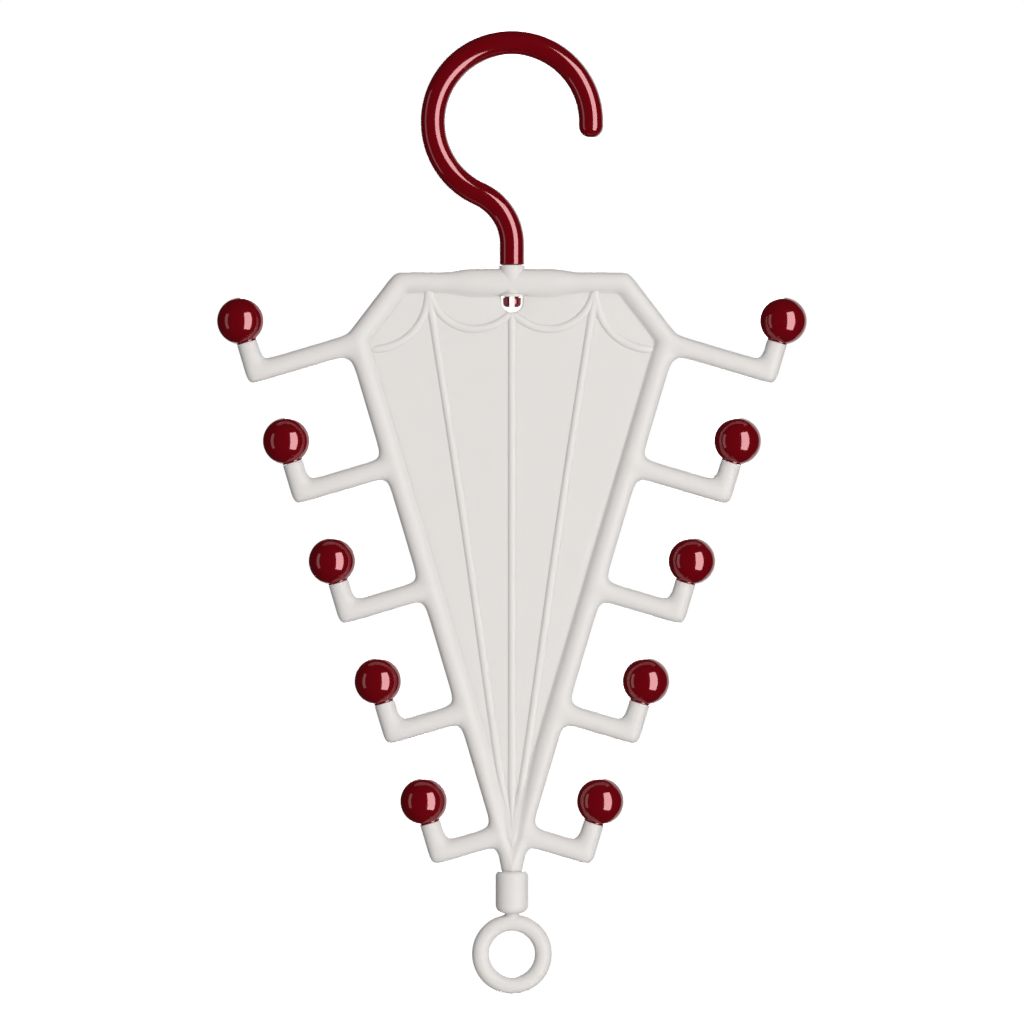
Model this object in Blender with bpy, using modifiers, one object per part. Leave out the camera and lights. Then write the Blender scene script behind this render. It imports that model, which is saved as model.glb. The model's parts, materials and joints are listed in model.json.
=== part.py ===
"""Rotating clothes hanger with ten knobbed arms, a swivelling hook on top and a swivelling ring below.

Units are metres and +Z is up. The front faces -Y. The origin is the point inside the crown of the hook
where a wardrobe rail bears, on the upright axis that the hook and the ring both turn about.
"""

import math

import bmesh
import bpy
from mathutils import Vector

# Hook
hook_rod_diameter = 0.00855
hook_inner_diameter = 0.0468
hook_mouth_drop = 0.0014
hook_s_bend_radius = 0.0193
hook_shank_length = 0.0071
hook_spigot_diameter = 0.0049

# Snap ends of the hook and the ring
running_clearance = 0.0003
hook_catch = 0.0007
hook_head_length = 0.0034
hook_head_rounding = 0.0017
ring_catch = 0.0011
ring_head_length = 0.0066
snap_slot_width = 0.0018

# Frame rails
rod_diameter = 0.0071
top_corner_half_width = 0.0390
shoulder_half_width = 0.0543
shoulder_drop = 0.0200
frame_height = 0.2026
top_rail_below_boss_middle = 0.0005
top_corner_outer_radius = 0.0055
shoulder_outer_radius = 0.0030
rail_inner_radius = 0.0020

# Top boss and the swelling of the top rail round it
boss_wall = 0.00162
boss_height = 0.0106
boss_rounding = 0.0004
swelling_height = 0.0096
swelling_depth = 0.0084
swelling_length = 0.0294
swelling_ramp = 0.0077

# Window for the hook's snap end
window_side_room = 0.0008
window_lower_room = 0.0014
window_corner_radius = 0.0033

# Panel and its ribs
panel_thickness = 0.0022
rib_width = 0.0034
rib_depth = 0.0041
scallop_rib_depth = 0.0037

# Arms
arm_count = 5
arm_depth = 0.0067
arm_first_offset = 0.0012
last_arm_to_tip = 0.009863
arm_first_length = 0.0372
arm_length_step = 0.00338
arm_knee_radius = 0.0032
arm_root_radius = 0.0036
knob_centre_height = 0.0189

# Knobs
knob_diameter = 0.0164
knob_foot_length = 0.0005
pin_diameter = 0.0032
pin_length = 0.0070

# Swivel barrel and ring at the tip
neck_taper_length = 0.0050
neck_length = 0.0035
barrel_wall = 0.0015
barrel_length = 0.01485
barrel_top_rounding = 0.0018
barrel_bottom_rounding = 0.0030
barrel_lip = 0.0030
socket_side_room = 0.0006
socket_end_room = 0.0009
ring_hole_diameter = 0.0161
ring_rod_diameter = 0.0059
ring_stem_diameter = 0.0050

# How far a cutter runs past what it cuts, and how far a joined body is sunk into its neighbour
cut_overrun = 0.002
join_overlap = 0.001

# Centre rib: how far down the frame's height it starts and ends
centre_rib_down_shares = (0.0, 0.93)
# Side ribs: points across the top corner's half width and down the frame's height
side_rib_shares = ((0.764, 0.0), (0.533, 0.2826), (0.380, 0.480), (0.126, 0.824), (0.020, 0.935))
# Scallops: curve points across the top corner's half width, across the shoulder's half width, and down
# the shoulder's drop
outer_scallop_shares = ((0.749, 0.0, 0.0), (0.749, 0.0, 0.90), (0.0, 0.633, 1.20), (0.0, 0.957, 1.20))
inner_scallop_shares = ((0.744, 0.0, 0.20), (0.641, 0.0, 0.85), (0.205, 0.0, 1.10), (0.020, 0.0, 0.58))
# Flares where the arms meet the rail, as shares of the arm's root radius. The first arm's upper edge runs
# straight into the shoulder, and its lower edge flares out further.
upper_flare_shares = (0.0, 1.0, 1.0, 1.0, 1.0)
lower_flare_shares = (1.3, 1.0, 1.0, 1.0, 1.0)
# How far down the rails the panel's point lies, and how much slimmer or fatter than the rod some ends are
panel_tip_share = 0.955
swelling_end_share = 0.94
tail_depth_share = 0.95
neck_share = 0.986
neck_top_share = 1.12
# How far the slots of the snap ends run up the boss and down the lip
slot_depth_share = 0.6

# Colours and roughness of the two plastics
RED = (0.17, 0.002, 0.006)
RED_ROUGHNESS = 0.12
WHITE = (0.76, 0.75, 0.73)
WHITE_ROUGHNESS = 0.35

# Angles: a quarter turn, the edge angle that stays sharp in the shading, and how far the half ball on the
# hook's end runs before it closes
QUARTER_TURN = math.radians(90)
SHARP_ANGLE = math.radians(40)
CAP_ANGLE = math.radians(84)

# Facets
ROD_SIDES = 16
ARM_SIDES = 14
CORNER_STEPS = 4
KNOB_SIDES = 18
KNOB_ARC_STEPS = 8
TURNED_SIDES = 24
HOOK_ARC_STEPS = 30
S_BEND_STEPS = 8
CAP_STEPS = 5
SCALLOP_STEPS = 9
RING_STEPS = 36
RIB_BEVEL_RESOLUTION = 3
HOOK_BEVEL_RESOLUTION = 6
MERGE_DISTANCE = 0.00001

# Sizes that follow from the ones above
hook_radius = hook_rod_diameter / 2
hook_bend_radius = hook_inner_diameter / 2 + hook_radius
hook_centre_z = -hook_inner_diameter / 2
s_bend_rise = math.sqrt((hook_bend_radius + hook_s_bend_radius) ** 2 - hook_s_bend_radius ** 2)
s_bend_z = hook_centre_z - s_bend_rise
hook_shoulder_z = s_bend_z - hook_shank_length
spigot_radius = hook_spigot_diameter / 2
hook_head_radius = spigot_radius + hook_catch

boss_radius = spigot_radius + running_clearance + boss_wall
boss_top_z = hook_shoulder_z - running_clearance
boss_bottom_z = boss_top_z - boss_height
hook_head_top_z = boss_bottom_z - running_clearance
hook_head_bottom_z = hook_head_top_z - hook_head_length
window_half_width = hook_head_radius + window_side_room
window_bottom_z = hook_head_bottom_z - window_lower_room

rod_radius = rod_diameter / 2
top_rail_z = (boss_top_z + boss_bottom_z) / 2 - top_rail_below_boss_middle
tip_z = top_rail_z - frame_height
top_corner = Vector((top_corner_half_width, top_rail_z))
shoulder = Vector((shoulder_half_width, top_rail_z - shoulder_drop))
tip = Vector((0, tip_z))
rail_direction = (tip - shoulder).normalized()
arm_direction = Vector((rail_direction.y, -rail_direction.x))
rail_lean = math.atan2(-rail_direction.x, -rail_direction.y)
arm_span = (tip - shoulder).length - arm_first_offset - last_arm_to_tip
arm_pitch = arm_span / (arm_count - 1)

knob_radius = knob_diameter / 2
foot_radius = rod_radius
knob_foot_z = -math.sqrt(knob_radius ** 2 - foot_radius ** 2) - knob_foot_length
upright_top_z = knob_foot_z - running_clearance
pin_radius = pin_diameter / 2

neck_radius = rod_radius * neck_share
neck_top_radius = rod_radius * neck_top_share
barrel_top_z = tip_z - neck_length
barrel_bottom_z = barrel_top_z - barrel_length
ring_stem_radius = ring_stem_diameter / 2
ring_head_radius = ring_stem_radius + ring_catch
socket_radius = ring_head_radius + socket_side_room
barrel_radius = socket_radius + barrel_wall
socket_floor_z = barrel_bottom_z + barrel_lip
ring_head_bottom_z = socket_floor_z + running_clearance
ring_head_top_z = ring_head_bottom_z + ring_head_length
socket_roof_z = ring_head_top_z + socket_end_room
ring_rod_radius = ring_rod_diameter / 2
ring_radius = ring_hole_diameter / 2 + ring_rod_radius
ring_centre_z = barrel_bottom_z - running_clearance - ring_rod_radius - ring_radius


def clear_scene():
    """Remove every object, so that the script can be run again."""
    for obj in list(bpy.data.objects):
        bpy.data.objects.remove(obj, do_unlink=True)


def new_collection(name):
    """Make a collection in the scene."""
    collection = bpy.data.collections.new(name)
    bpy.context.scene.collection.children.link(collection)
    return collection


def plastic(name, colour, roughness):
    """Make a plastic material."""
    material = bpy.data.materials.new(name)
    material.use_nodes = True
    shader = material.node_tree.nodes["Principled BSDF"]
    shader.inputs["Base Color"].default_value = (*colour, 1)
    shader.inputs["Roughness"].default_value = roughness
    shader.inputs["Metallic"].default_value = 0
    return material


def add_object(name, data, collection):
    """Put new object data into a collection."""
    obj = bpy.data.objects.new(name, data)
    collection.objects.link(obj)
    return obj


def as_helper(obj):
    """Show a cutter or a body that is joined to another one as wires only."""
    obj.hide_render = True
    obj.display_type = "WIRE"
    return obj


def finish(obj, colour, roughness):
    """Give a finished piece its own material and smooth shading."""
    obj.data.materials.clear()
    obj.data.materials.append(plastic(obj.name + "_plastic", colour, roughness))
    obj.data.shade_smooth()
    obj.data.set_sharp_from_angle(angle=SHARP_ANGLE)


def curve_to_mesh(name, curve_object, collection):
    """Swap a curve object for a mesh of the same shape with its caps welded on."""
    bpy.context.view_layer.update()
    evaluated = curve_object.evaluated_get(bpy.context.evaluated_depsgraph_get())
    mesh = bpy.data.meshes.new_from_object(evaluated)
    welded = bmesh.new()
    welded.from_mesh(mesh)
    bmesh.ops.remove_doubles(welded, verts=welded.verts, dist=MERGE_DISTANCE)
    bmesh.ops.recalc_face_normals(welded, faces=welded.faces)
    welded.to_mesh(mesh)
    welded.free()
    obj = add_object(name, mesh, collection)
    obj.matrix_world = curve_object.matrix_world
    bpy.data.objects.remove(curve_object, do_unlink=True)
    return obj


def tube(name, points, radius, resolution, collection, radius_shares=None, closed=False):
    """Run a round tube through points (x, z) in the plane of the hanger, with its own share of the radius
    at each point if shares are given."""
    curve = bpy.data.curves.new(name, "CURVE")
    curve.dimensions = "3D"
    curve.bevel_depth = radius
    curve.bevel_resolution = resolution
    curve.use_fill_caps = not closed
    spline = curve.splines.new("POLY")
    spline.points.add(len(points) - 1)
    for index, (x, z) in enumerate(points):
        spline.points[index].co = (x, 0, z, 1)
        if radius_shares:
            spline.points[index].radius = radius_shares[index]
    spline.use_cyclic_u = closed
    return curve_to_mesh(name, add_object(name + "_curve", curve, collection), collection)


def plate(name, outline, thickness, collection):
    """Extrude a closed outline of points (x, z) to both sides of the plane of the hanger."""
    curve = bpy.data.curves.new(name, "CURVE")
    curve.dimensions = "2D"
    curve.fill_mode = "BOTH"
    curve.extrude = thickness / 2
    spline = curve.splines.new("POLY")
    spline.points.add(len(outline) - 1)
    for index, (x, z) in enumerate(outline):
        spline.points[index].co = (x, z, 0, 1)
    spline.use_cyclic_u = True
    flat = add_object(name + "_curve", curve, collection)
    flat.rotation_euler = (QUARTER_TURN, 0, 0)
    return curve_to_mesh(name, flat, collection)


def turned(name, profile, sides, collection):
    """Turn a profile of points (radius, z), given from top to bottom, about the upright axis."""
    mesh = bpy.data.meshes.new(name)
    edges = [(index, index + 1) for index in range(len(profile) - 1)]
    mesh.from_pydata([(radius, 0, z) for radius, z in profile], edges, [])
    obj = add_object(name, mesh, collection)
    screw = obj.modifiers.new("turn", "SCREW")
    screw.steps = sides
    screw.render_steps = sides
    screw.use_merge_vertices = True
    screw.merge_threshold = MERGE_DISTANCE
    return obj


def loft(name, pairs, half_depths, sides, collection):
    """Skin oval rings, each spanning a pair of edge points (x, z) with its own half depth."""
    body = bmesh.new()
    rings = []
    for (outer, inner), half_depth in zip(pairs, half_depths):
        middle = (outer + inner) / 2
        reach = (outer - inner) / 2
        ring = []
        for side in range(sides):
            angle = math.tau * side / sides
            flat = middle + reach * math.cos(angle)
            ring.append(body.verts.new((flat.x, half_depth * math.sin(angle), flat.y)))
        rings.append(ring)
    for near, far in zip(rings, rings[1:]):
        for side in range(sides):
            after = (side + 1) % sides
            body.faces.new((near[side], near[after], far[after], far[side]))
    body.faces.new(rings[0])
    body.faces.new(rings[-1])
    bmesh.ops.recalc_face_normals(body, faces=body.faces)
    mesh = bpy.data.meshes.new(name)
    body.to_mesh(mesh)
    body.free()
    return add_object(name, mesh, collection)


def mirrored(obj, name, collection):
    """Copy a body to the other side of the hanger."""
    mesh = obj.data.copy()
    body = bmesh.new()
    body.from_mesh(mesh)
    for vert in body.verts:
        vert.co.x = -vert.co.x
    bmesh.ops.reverse_faces(body, faces=body.faces)
    body.to_mesh(mesh)
    body.free()
    return add_object(name, mesh, collection)


def combine(obj, helpers, operation):
    """Join helpers to an object, or cut them out of it, all in one step."""
    boolean = obj.modifiers.new(operation.lower(), "BOOLEAN")
    boolean.operation = operation
    boolean.solver = "EXACT"
    boolean.operand_type = "COLLECTION"
    boolean.collection = helpers
    for helper in helpers.objects:
        as_helper(helper)


def apply_modifiers(obj):
    """Turn the evaluated shape of an object into its own mesh."""
    bpy.context.view_layer.update()
    evaluated = obj.evaluated_get(bpy.context.evaluated_depsgraph_get())
    mesh = bpy.data.meshes.new_from_object(evaluated)
    obj.modifiers.clear()
    obj.data = mesh


def arc(centre, radius, start, end, steps):
    """Points (x, z) along an arc, with its angles in radians."""
    points = []
    for step in range(steps + 1):
        angle = start + (end - start) * step / steps
        points.append((centre[0] + radius * math.cos(angle), centre[1] + radius * math.sin(angle)))
    return points


def left_of(direction):
    """The unit direction to the left of a unit direction."""
    return Vector((-direction.y, direction.x))


def square_pair(point, direction, half_width):
    """Edge points square to a path at one of its points."""
    side = left_of(direction) * half_width
    return (point + side, point - side)


def corner_pairs(before, corner, after, half_width, outer_radius, inner_radius):
    """Edge points round a corner where a path turns right, with rounded edges on both sides."""
    first = left_of((corner - before).normalized())
    last = left_of((after - corner).normalized())
    bisector = (first + last).normalized()
    half_cosine = bisector.dot(first)
    outer_centre = corner + bisector * (half_width - outer_radius) / half_cosine
    inner_centre = corner - bisector * (half_width + inner_radius) / half_cosine
    start = math.atan2(first.y, first.x)
    turn = 2 * math.acos(min(1, half_cosine))
    pairs = []
    for step in range(CORNER_STEPS + 1):
        angle = start - turn * step / CORNER_STEPS
        normal = Vector((math.cos(angle), math.sin(angle)))
        pairs.append((outer_centre + normal * outer_radius, inner_centre + normal * inner_radius))
    return pairs


def bezier(start, start_handle, end_handle, end, steps):
    """Points along a cubic curve."""
    points = []
    for step in range(steps + 1):
        t = step / steps
        s = 1 - t
        point = start * s ** 3 + start_handle * 3 * s * s * t + end_handle * 3 * s * t * t + end * t ** 3
        points.append(point)
    return points


def rail(name, collection):
    """The right rail, from inside the swelling round the top corner and the shoulder to the tip."""
    start = Vector((swelling_length / 2 - join_overlap, top_rail_z))
    tail = shoulder + (tip - shoulder) * panel_tip_share
    inner_radius = rail_inner_radius
    pairs = [square_pair(start, (top_corner - start).normalized(), rod_radius)]
    pairs += corner_pairs(start, top_corner, shoulder, rod_radius, top_corner_outer_radius, inner_radius)
    pairs += corner_pairs(top_corner, shoulder, tip, rod_radius, shoulder_outer_radius, inner_radius)
    pairs.append(square_pair(tail, rail_direction, rod_radius))
    pairs.append(square_pair(tip, rail_direction, rod_radius))
    half_depths = [rod_radius] * (len(pairs) - 1) + [rod_radius * tail_depth_share]
    return loft(name, pairs, half_depths, ROD_SIDES, collection)


def knee(index):
    """Where an arm on the right turns up, and the centre of its knob."""
    root = shoulder + rail_direction * (arm_first_offset + arm_pitch * index)
    corner = root - arm_direction * (arm_first_length - arm_length_step * index)
    return corner, corner - rail_direction * knob_centre_height, root


def arm(name, index, collection):
    """A right arm: an upright, a rounded knee, and a straight run that flares into the rail."""
    corner, knob_centre, root = knee(index)
    upright_top = knob_centre - rail_direction * upright_top_z
    pairs = [square_pair(upright_top, rail_direction, rod_radius)]
    pairs += corner_pairs(knob_centre, corner, root, rod_radius, arm_knee_radius, arm_knee_radius)
    edge_point = root - arm_direction * rod_radius
    lower_side = left_of(arm_direction)
    upper_radius = arm_root_radius * upper_flare_shares[index]
    lower_radius = arm_root_radius * lower_flare_shares[index]
    for step in range(CORNER_STEPS + 1):
        angle = QUARTER_TURN * step / CORNER_STEPS
        along = edge_point - arm_direction * lower_radius * (1 - math.sin(angle))
        lower = along + lower_side * (rod_radius + lower_radius * (1 - math.cos(angle)))
        upper = along - lower_side * (rod_radius + upper_radius * (1 - math.cos(angle)))
        pairs.append((lower, upper))
    lower, upper = pairs[-1]
    pairs.append((lower + arm_direction * rod_radius, upper + arm_direction * rod_radius))
    return loft(name, pairs, [rod_radius] + [arm_depth / 2] * (len(pairs) - 1), ARM_SIDES, collection)


def pin(name, index, collection):
    """The pin on top of an upright on the right that carries its knob."""
    knob_centre = knee(index)[1]
    bottom = upright_top_z - join_overlap
    top = upright_top_z + pin_length
    flats = [(0, top), (pin_radius, top), (pin_radius, bottom), (0, bottom)]
    obj = turned(name, flats, ROD_SIDES, collection)
    apply_modifiers(obj)
    obj.location = (knob_centre.x, 0, knob_centre.y)
    obj.rotation_euler = (0, rail_lean, 0)
    bpy.context.view_layer.update()
    obj.data.transform(obj.matrix_world)
    obj.location = (0, 0, 0)
    obj.rotation_euler = (0, 0, 0)
    return obj


def flattened_tube(name, points, depth, collection):
    """A rib: a tube with an oval section that shows on both faces of the panel."""
    obj = tube(name, points, rib_width / 2, RIB_BEVEL_RESOLUTION, collection)
    for vert in obj.data.vertices:
        vert.co.y *= depth / rib_width
    return obj


def shared_point(top_share, shoulder_share, down_share):
    """A point of a scallop from its shares."""
    across = top_share * top_corner_half_width + shoulder_share * shoulder_half_width
    return Vector((across, top_rail_z - down_share * shoulder_drop))


def ribs(collection):
    """The fan of three ribs down the panel and the four scallops between them at the top."""
    centre = [(0, top_rail_z - share * frame_height) for share in centre_rib_down_shares]
    flattened_tube("rib_centre", centre, rib_depth, collection)
    side = []
    for across_share, down_share in side_rib_shares:
        side.append((across_share * top_corner_half_width, top_rail_z - down_share * frame_height))
    right = [flattened_tube("rib_side_right", side, rib_depth, collection)]
    for name, shares in (("outer", outer_scallop_shares), ("inner", inner_scallop_shares)):
        points = bezier(*[shared_point(*share) for share in shares], SCALLOP_STEPS)
        right.append(flattened_tube("scallop_" + name + "_right", points, scallop_rib_depth, collection))
    for rib in right:
        mirrored(rib, rib.name.replace("right", "left"), collection)


def panel(collection):
    """The flat web inside the rails."""
    tail = shoulder + (tip - shoulder) * panel_tip_share
    right = [top_corner, shoulder, tail]
    left = [Vector((-point.x, point.y)) for point in reversed(right)]
    return plate("panel", right + left, panel_thickness, collection)


def swelling(collection):
    """The fatter middle of the top rail, turned about the rail's own axis and then flattened."""
    full = swelling_height / 2
    end = rod_radius * swelling_end_share
    flat = swelling_length / 2
    reach = flat + swelling_ramp
    profile = [(0, reach), (end, reach)]
    for step in range(1, CORNER_STEPS):
        t = step / CORNER_STEPS
        ease = t * t * (3 - 2 * t)
        profile.append((end + (full - end) * ease, reach - swelling_ramp * t))
    profile.append((full, flat))
    profile += [(radius, -z) for radius, z in reversed(profile)]
    obj = turned("swelling", profile, ROD_SIDES, collection)
    obj.location = (0, 0, top_rail_z)
    obj.rotation_euler = (0, QUARTER_TURN, 0)
    obj.scale = (1, swelling_depth / swelling_height, 1)
    return obj


def boss(collection):
    """The upright boss that the hook turns in."""
    rounding = min(boss_rounding, boss_wall / 2)
    profile = [
        (0, boss_top_z),
        (boss_radius - rounding, boss_top_z),
        (boss_radius, boss_top_z - rounding),
        (boss_radius, boss_bottom_z + rounding),
        (boss_radius - rounding, boss_bottom_z),
        (0, boss_bottom_z),
    ]
    return turned("boss", profile, TURNED_SIDES, collection)


def barrel(collection):
    """The neck below the rails and the barrel that holds the ring's stem."""
    top = min(barrel_top_rounding, barrel_radius - neck_radius)
    bottom = min(barrel_bottom_rounding, barrel_radius - neck_radius)
    profile = [(0, tip_z + neck_taper_length), (neck_top_radius, tip_z)]
    profile.append((neck_radius, barrel_top_z))
    profile += arc((barrel_radius - top, barrel_top_z - top), top, QUARTER_TURN, 0, CORNER_STEPS)
    bottom_centre = (barrel_radius - bottom, barrel_bottom_z + bottom)
    profile += arc(bottom_centre, bottom, 0, -QUARTER_TURN, CORNER_STEPS)
    profile.append((0, barrel_bottom_z))
    return turned("barrel", profile, TURNED_SIDES, collection)


def bore_cutter(collection):
    """The bore through the boss."""
    radius = spigot_radius + running_clearance
    top = boss_top_z + cut_overrun
    bottom = boss_bottom_z - running_clearance
    profile = [(0, top), (radius, top), (radius, bottom), (0, bottom)]
    return turned("bore_cutter", profile, TURNED_SIDES, collection)


def window_cutter(collection):
    """The window below the boss, square at the top and rounded at the bottom."""
    radius = min(window_corner_radius, window_half_width)
    corner_x = window_half_width - radius
    corner_z = window_bottom_z + radius
    right = [(window_half_width, boss_bottom_z)]
    right += arc((corner_x, corner_z), radius, 0, -QUARTER_TURN, CORNER_STEPS)
    left = [(-x, z) for x, z in reversed(right)]
    return plate("window_cutter", right + left, swelling_depth + cut_overrun, collection)


def socket_cutter(collection):
    """The stepped socket in the barrel: a bore through the lip and a wider space for the snap end."""
    stem_room = ring_stem_radius + running_clearance
    bottom = barrel_bottom_z - cut_overrun
    profile = [
        (0, socket_roof_z),
        (socket_radius, socket_roof_z),
        (socket_radius, socket_floor_z),
        (stem_room, socket_floor_z),
        (stem_room, bottom),
        (0, bottom),
    ]
    return turned("socket_cutter", profile, TURNED_SIDES, collection)


def make_frame(collection, bodies, cutters):
    """The frame moulding: rails, panel, ribs, arms with their pins, boss and barrel as one body."""
    frame = rail("frame", collection)
    mirrored(frame, "rail_left", bodies)
    swelling(bodies)
    boss(bodies)
    barrel(bodies)
    panel(bodies)
    ribs(bodies)
    for index in range(arm_count):
        number = str(index + 1)
        mirrored(arm("arm_right_" + number, index, bodies), "arm_left_" + number, bodies)
        mirrored(pin("pin_right_" + number, index, bodies), "pin_left_" + number, bodies)
    bore_cutter(cutters)
    window_cutter(cutters)
    socket_cutter(cutters)
    combine(frame, bodies, "UNION")
    combine(frame, cutters, "DIFFERENCE")
    apply_modifiers(frame)
    return frame


def hook_route():
    """Points (x, z) along the hook from its mouth over the crown to its shoulder, and the share of the
    rod's radius at each, which closes the mouth end as a half ball."""
    mouth_x = hook_bend_radius
    mouth_z = hook_centre_z - hook_mouth_drop
    points = []
    radius_shares = []
    for step in range(CAP_STEPS, 0, -1):
        angle = CAP_ANGLE * step / CAP_STEPS
        points.append((mouth_x, mouth_z - hook_radius * math.sin(angle)))
        radius_shares.append(math.cos(angle))
    points.append((mouth_x, mouth_z))
    turn = math.atan2(s_bend_rise, hook_s_bend_radius)
    points += arc((0, hook_centre_z), hook_bend_radius, 0, math.pi + turn, HOOK_ARC_STEPS)
    points += arc((-hook_s_bend_radius, s_bend_z), hook_s_bend_radius, turn, 0, S_BEND_STEPS)[1:]
    points.append((0, hook_shoulder_z))
    radius_shares += [1.0] * (len(points) - len(radius_shares))
    return points, radius_shares


def slot_cutter(name, root, mouth, head_radius, collection):
    """A slot through a snap end from front to back, with a round root above or below its mouth."""
    half = snap_slot_width / 2
    way = 1 if root > mouth else -1
    outline = arc((0, root - way * half), way * half, 0, math.pi, CORNER_STEPS)
    outline += [(-way * half, mouth), (way * half, mouth)]
    return plate(name, outline, 2 * (head_radius + cut_overrun), collection)


def make_hook(collection, bodies, cutters):
    """The hook: a bent rod with a spigot below its shoulder that ends in a split snap end."""
    points, radius_shares = hook_route()
    hook = tube("hook", points, hook_radius, HOOK_BEVEL_RESOLUTION, collection, radius_shares)
    rounding = min(hook_head_rounding, hook_head_radius, hook_head_length)
    tip_centre = (hook_head_radius - rounding, hook_head_bottom_z + rounding)
    profile = [
        (0, hook_shoulder_z + join_overlap),
        (spigot_radius, hook_shoulder_z + join_overlap),
        (spigot_radius, hook_head_top_z),
        (hook_head_radius, hook_head_top_z),
    ]
    profile += arc(tip_centre, rounding, 0, -QUARTER_TURN, CORNER_STEPS)
    profile.append((0, hook_head_bottom_z))
    turned("spigot", profile, TURNED_SIDES, bodies)
    slot_root = hook_head_top_z + boss_height * slot_depth_share
    slot_mouth = hook_head_bottom_z - cut_overrun
    slot_cutter("hook_slot_cutter", slot_root, slot_mouth, hook_head_radius, cutters)
    combine(hook, bodies, "UNION")
    combine(hook, cutters, "DIFFERENCE")
    apply_modifiers(hook)
    return hook


def make_ring(collection, bodies, cutters):
    """The ring: a round eye with a stem and a split snap end, modelled about the eye's centre."""
    points = arc((0, 0), ring_radius, QUARTER_TURN, QUARTER_TURN + math.tau, RING_STEPS)[:-1]
    ring = tube("ring", points, ring_rod_radius, HOOK_BEVEL_RESOLUTION, collection, closed=True)
    head_bottom = ring_head_bottom_z - ring_centre_z
    head_top = ring_head_top_z - ring_centre_z
    profile = [
        (0, head_top),
        (ring_stem_radius, head_top),
        (ring_head_radius, head_bottom + ring_catch),
        (ring_head_radius, head_bottom),
        (ring_stem_radius, head_bottom),
        (ring_stem_radius, ring_radius),
        (0, ring_radius),
    ]
    turned("stem", profile, TURNED_SIDES, bodies)
    slot_root = head_bottom - barrel_lip * slot_depth_share
    slot_cutter("ring_slot_cutter", slot_root, head_top + cut_overrun, ring_head_radius, cutters)
    combine(ring, bodies, "UNION")
    combine(ring, cutters, "DIFFERENCE")
    apply_modifiers(ring)
    ring.location = (0, 0, ring_centre_z)
    return ring


def make_knob(name, collection):
    """A knob turned about its own axis: a ball with a short foot and a blind hole for its pin."""
    foot_angle = -math.asin(math.sqrt(knob_radius ** 2 - foot_radius ** 2) / knob_radius)
    hole_radius = pin_radius + running_clearance
    hole_top = upright_top_z + pin_length + running_clearance
    profile = arc((0, 0), knob_radius, QUARTER_TURN, foot_angle, KNOB_ARC_STEPS)
    profile[0] = (0, knob_radius)
    profile += [(foot_radius, knob_foot_z), (hole_radius, knob_foot_z)]
    profile += [(hole_radius, hole_top), (0, hole_top)]
    knob = turned(name, profile, KNOB_SIDES, collection)
    apply_modifiers(knob)
    return knob


def make_knobs(collection, frame):
    """Ten knobs, five on each side, each carried by the frame."""
    for side_name, side in (("left", -1), ("right", 1)):
        for index in range(arm_count):
            knob = make_knob("knob_" + side_name + "_" + str(index + 1), collection)
            knob_centre = knee(index)[1]
            knob.location = (side * knob_centre.x, 0, knob_centre.y)
            knob.rotation_euler = (0, side * rail_lean, 0)
            finish(knob, RED, RED_ROUGHNESS)
            knob.parent = frame


def main():
    """Build the whole hanger."""
    clear_scene()
    parts = new_collection("rotating_clothes_hanger")
    frame = make_frame(parts, new_collection("frame_bodies"), new_collection("frame_cutters"))
    hook = make_hook(parts, new_collection("hook_bodies"), new_collection("hook_cutters"))
    ring = make_ring(parts, new_collection("ring_bodies"), new_collection("ring_cutters"))
    finish(frame, WHITE, WHITE_ROUGHNESS)
    finish(hook, RED, RED_ROUGHNESS)
    finish(ring, WHITE, WHITE_ROUGHNESS)
    make_knobs(parts, frame)
    ring.parent = frame


main()
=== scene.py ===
"""Looks of the rotating clothes hanger: a white moulded frame, a red swivelling hook, a white swivelling
ring and ten red knobs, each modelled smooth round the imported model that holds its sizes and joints.

Units are metres, +Z is up and the front faces -Y. The origin is where a wardrobe rail bears in the hook.
Tables of sections and profiles and lists of places are in millimetres.
"""

import json
import logging
import math
from dataclasses import dataclass, field
from enum import Enum

import bmesh
import bpy
from mathutils import Matrix, Vector


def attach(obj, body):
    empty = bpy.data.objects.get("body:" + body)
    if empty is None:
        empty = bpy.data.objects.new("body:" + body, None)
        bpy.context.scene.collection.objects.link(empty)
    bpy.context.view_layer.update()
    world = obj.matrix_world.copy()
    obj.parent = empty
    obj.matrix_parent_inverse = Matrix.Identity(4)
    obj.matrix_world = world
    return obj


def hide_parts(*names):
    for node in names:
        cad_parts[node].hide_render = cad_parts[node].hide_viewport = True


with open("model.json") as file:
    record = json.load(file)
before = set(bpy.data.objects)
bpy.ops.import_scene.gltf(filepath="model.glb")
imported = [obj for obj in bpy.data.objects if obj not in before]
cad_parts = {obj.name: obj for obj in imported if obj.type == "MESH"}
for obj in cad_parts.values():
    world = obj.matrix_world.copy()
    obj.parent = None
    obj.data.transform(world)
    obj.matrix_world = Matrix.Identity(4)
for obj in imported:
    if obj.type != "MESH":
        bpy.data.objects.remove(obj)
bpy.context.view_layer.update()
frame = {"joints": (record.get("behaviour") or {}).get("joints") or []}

MM = 0.001
FULL_TURN = math.tau
HALF_TURN = math.pi
QUARTER_TURN = math.pi / 2
DIAGONAL = math.sqrt(0.5)
RIGHT = Vector((1, 0))
DOWN = Vector((0, -1))
MERGE_DISTANCE = 0.01 * MM
CUT_BEYOND = 2 * MM
CUTTER_HALF_DEPTH = 10 * MM

# The sockets of a Mix node for colours, by number, because its names are shared with other kinds
MIX_SHARE, MIX_FIRST, MIX_SECOND, MIX_RESULT = 0, 6, 7, 2
# The Blend at which a Layer Weight node gives the plain turn away from the eye
EVEN_BLEND = 0.5

Piece = bpy.types.Object
Points = list[Vector]
Rings = list[Points]
Table = tuple[tuple[float, ...], ...]

log = logging.getLogger("hanger")


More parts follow.
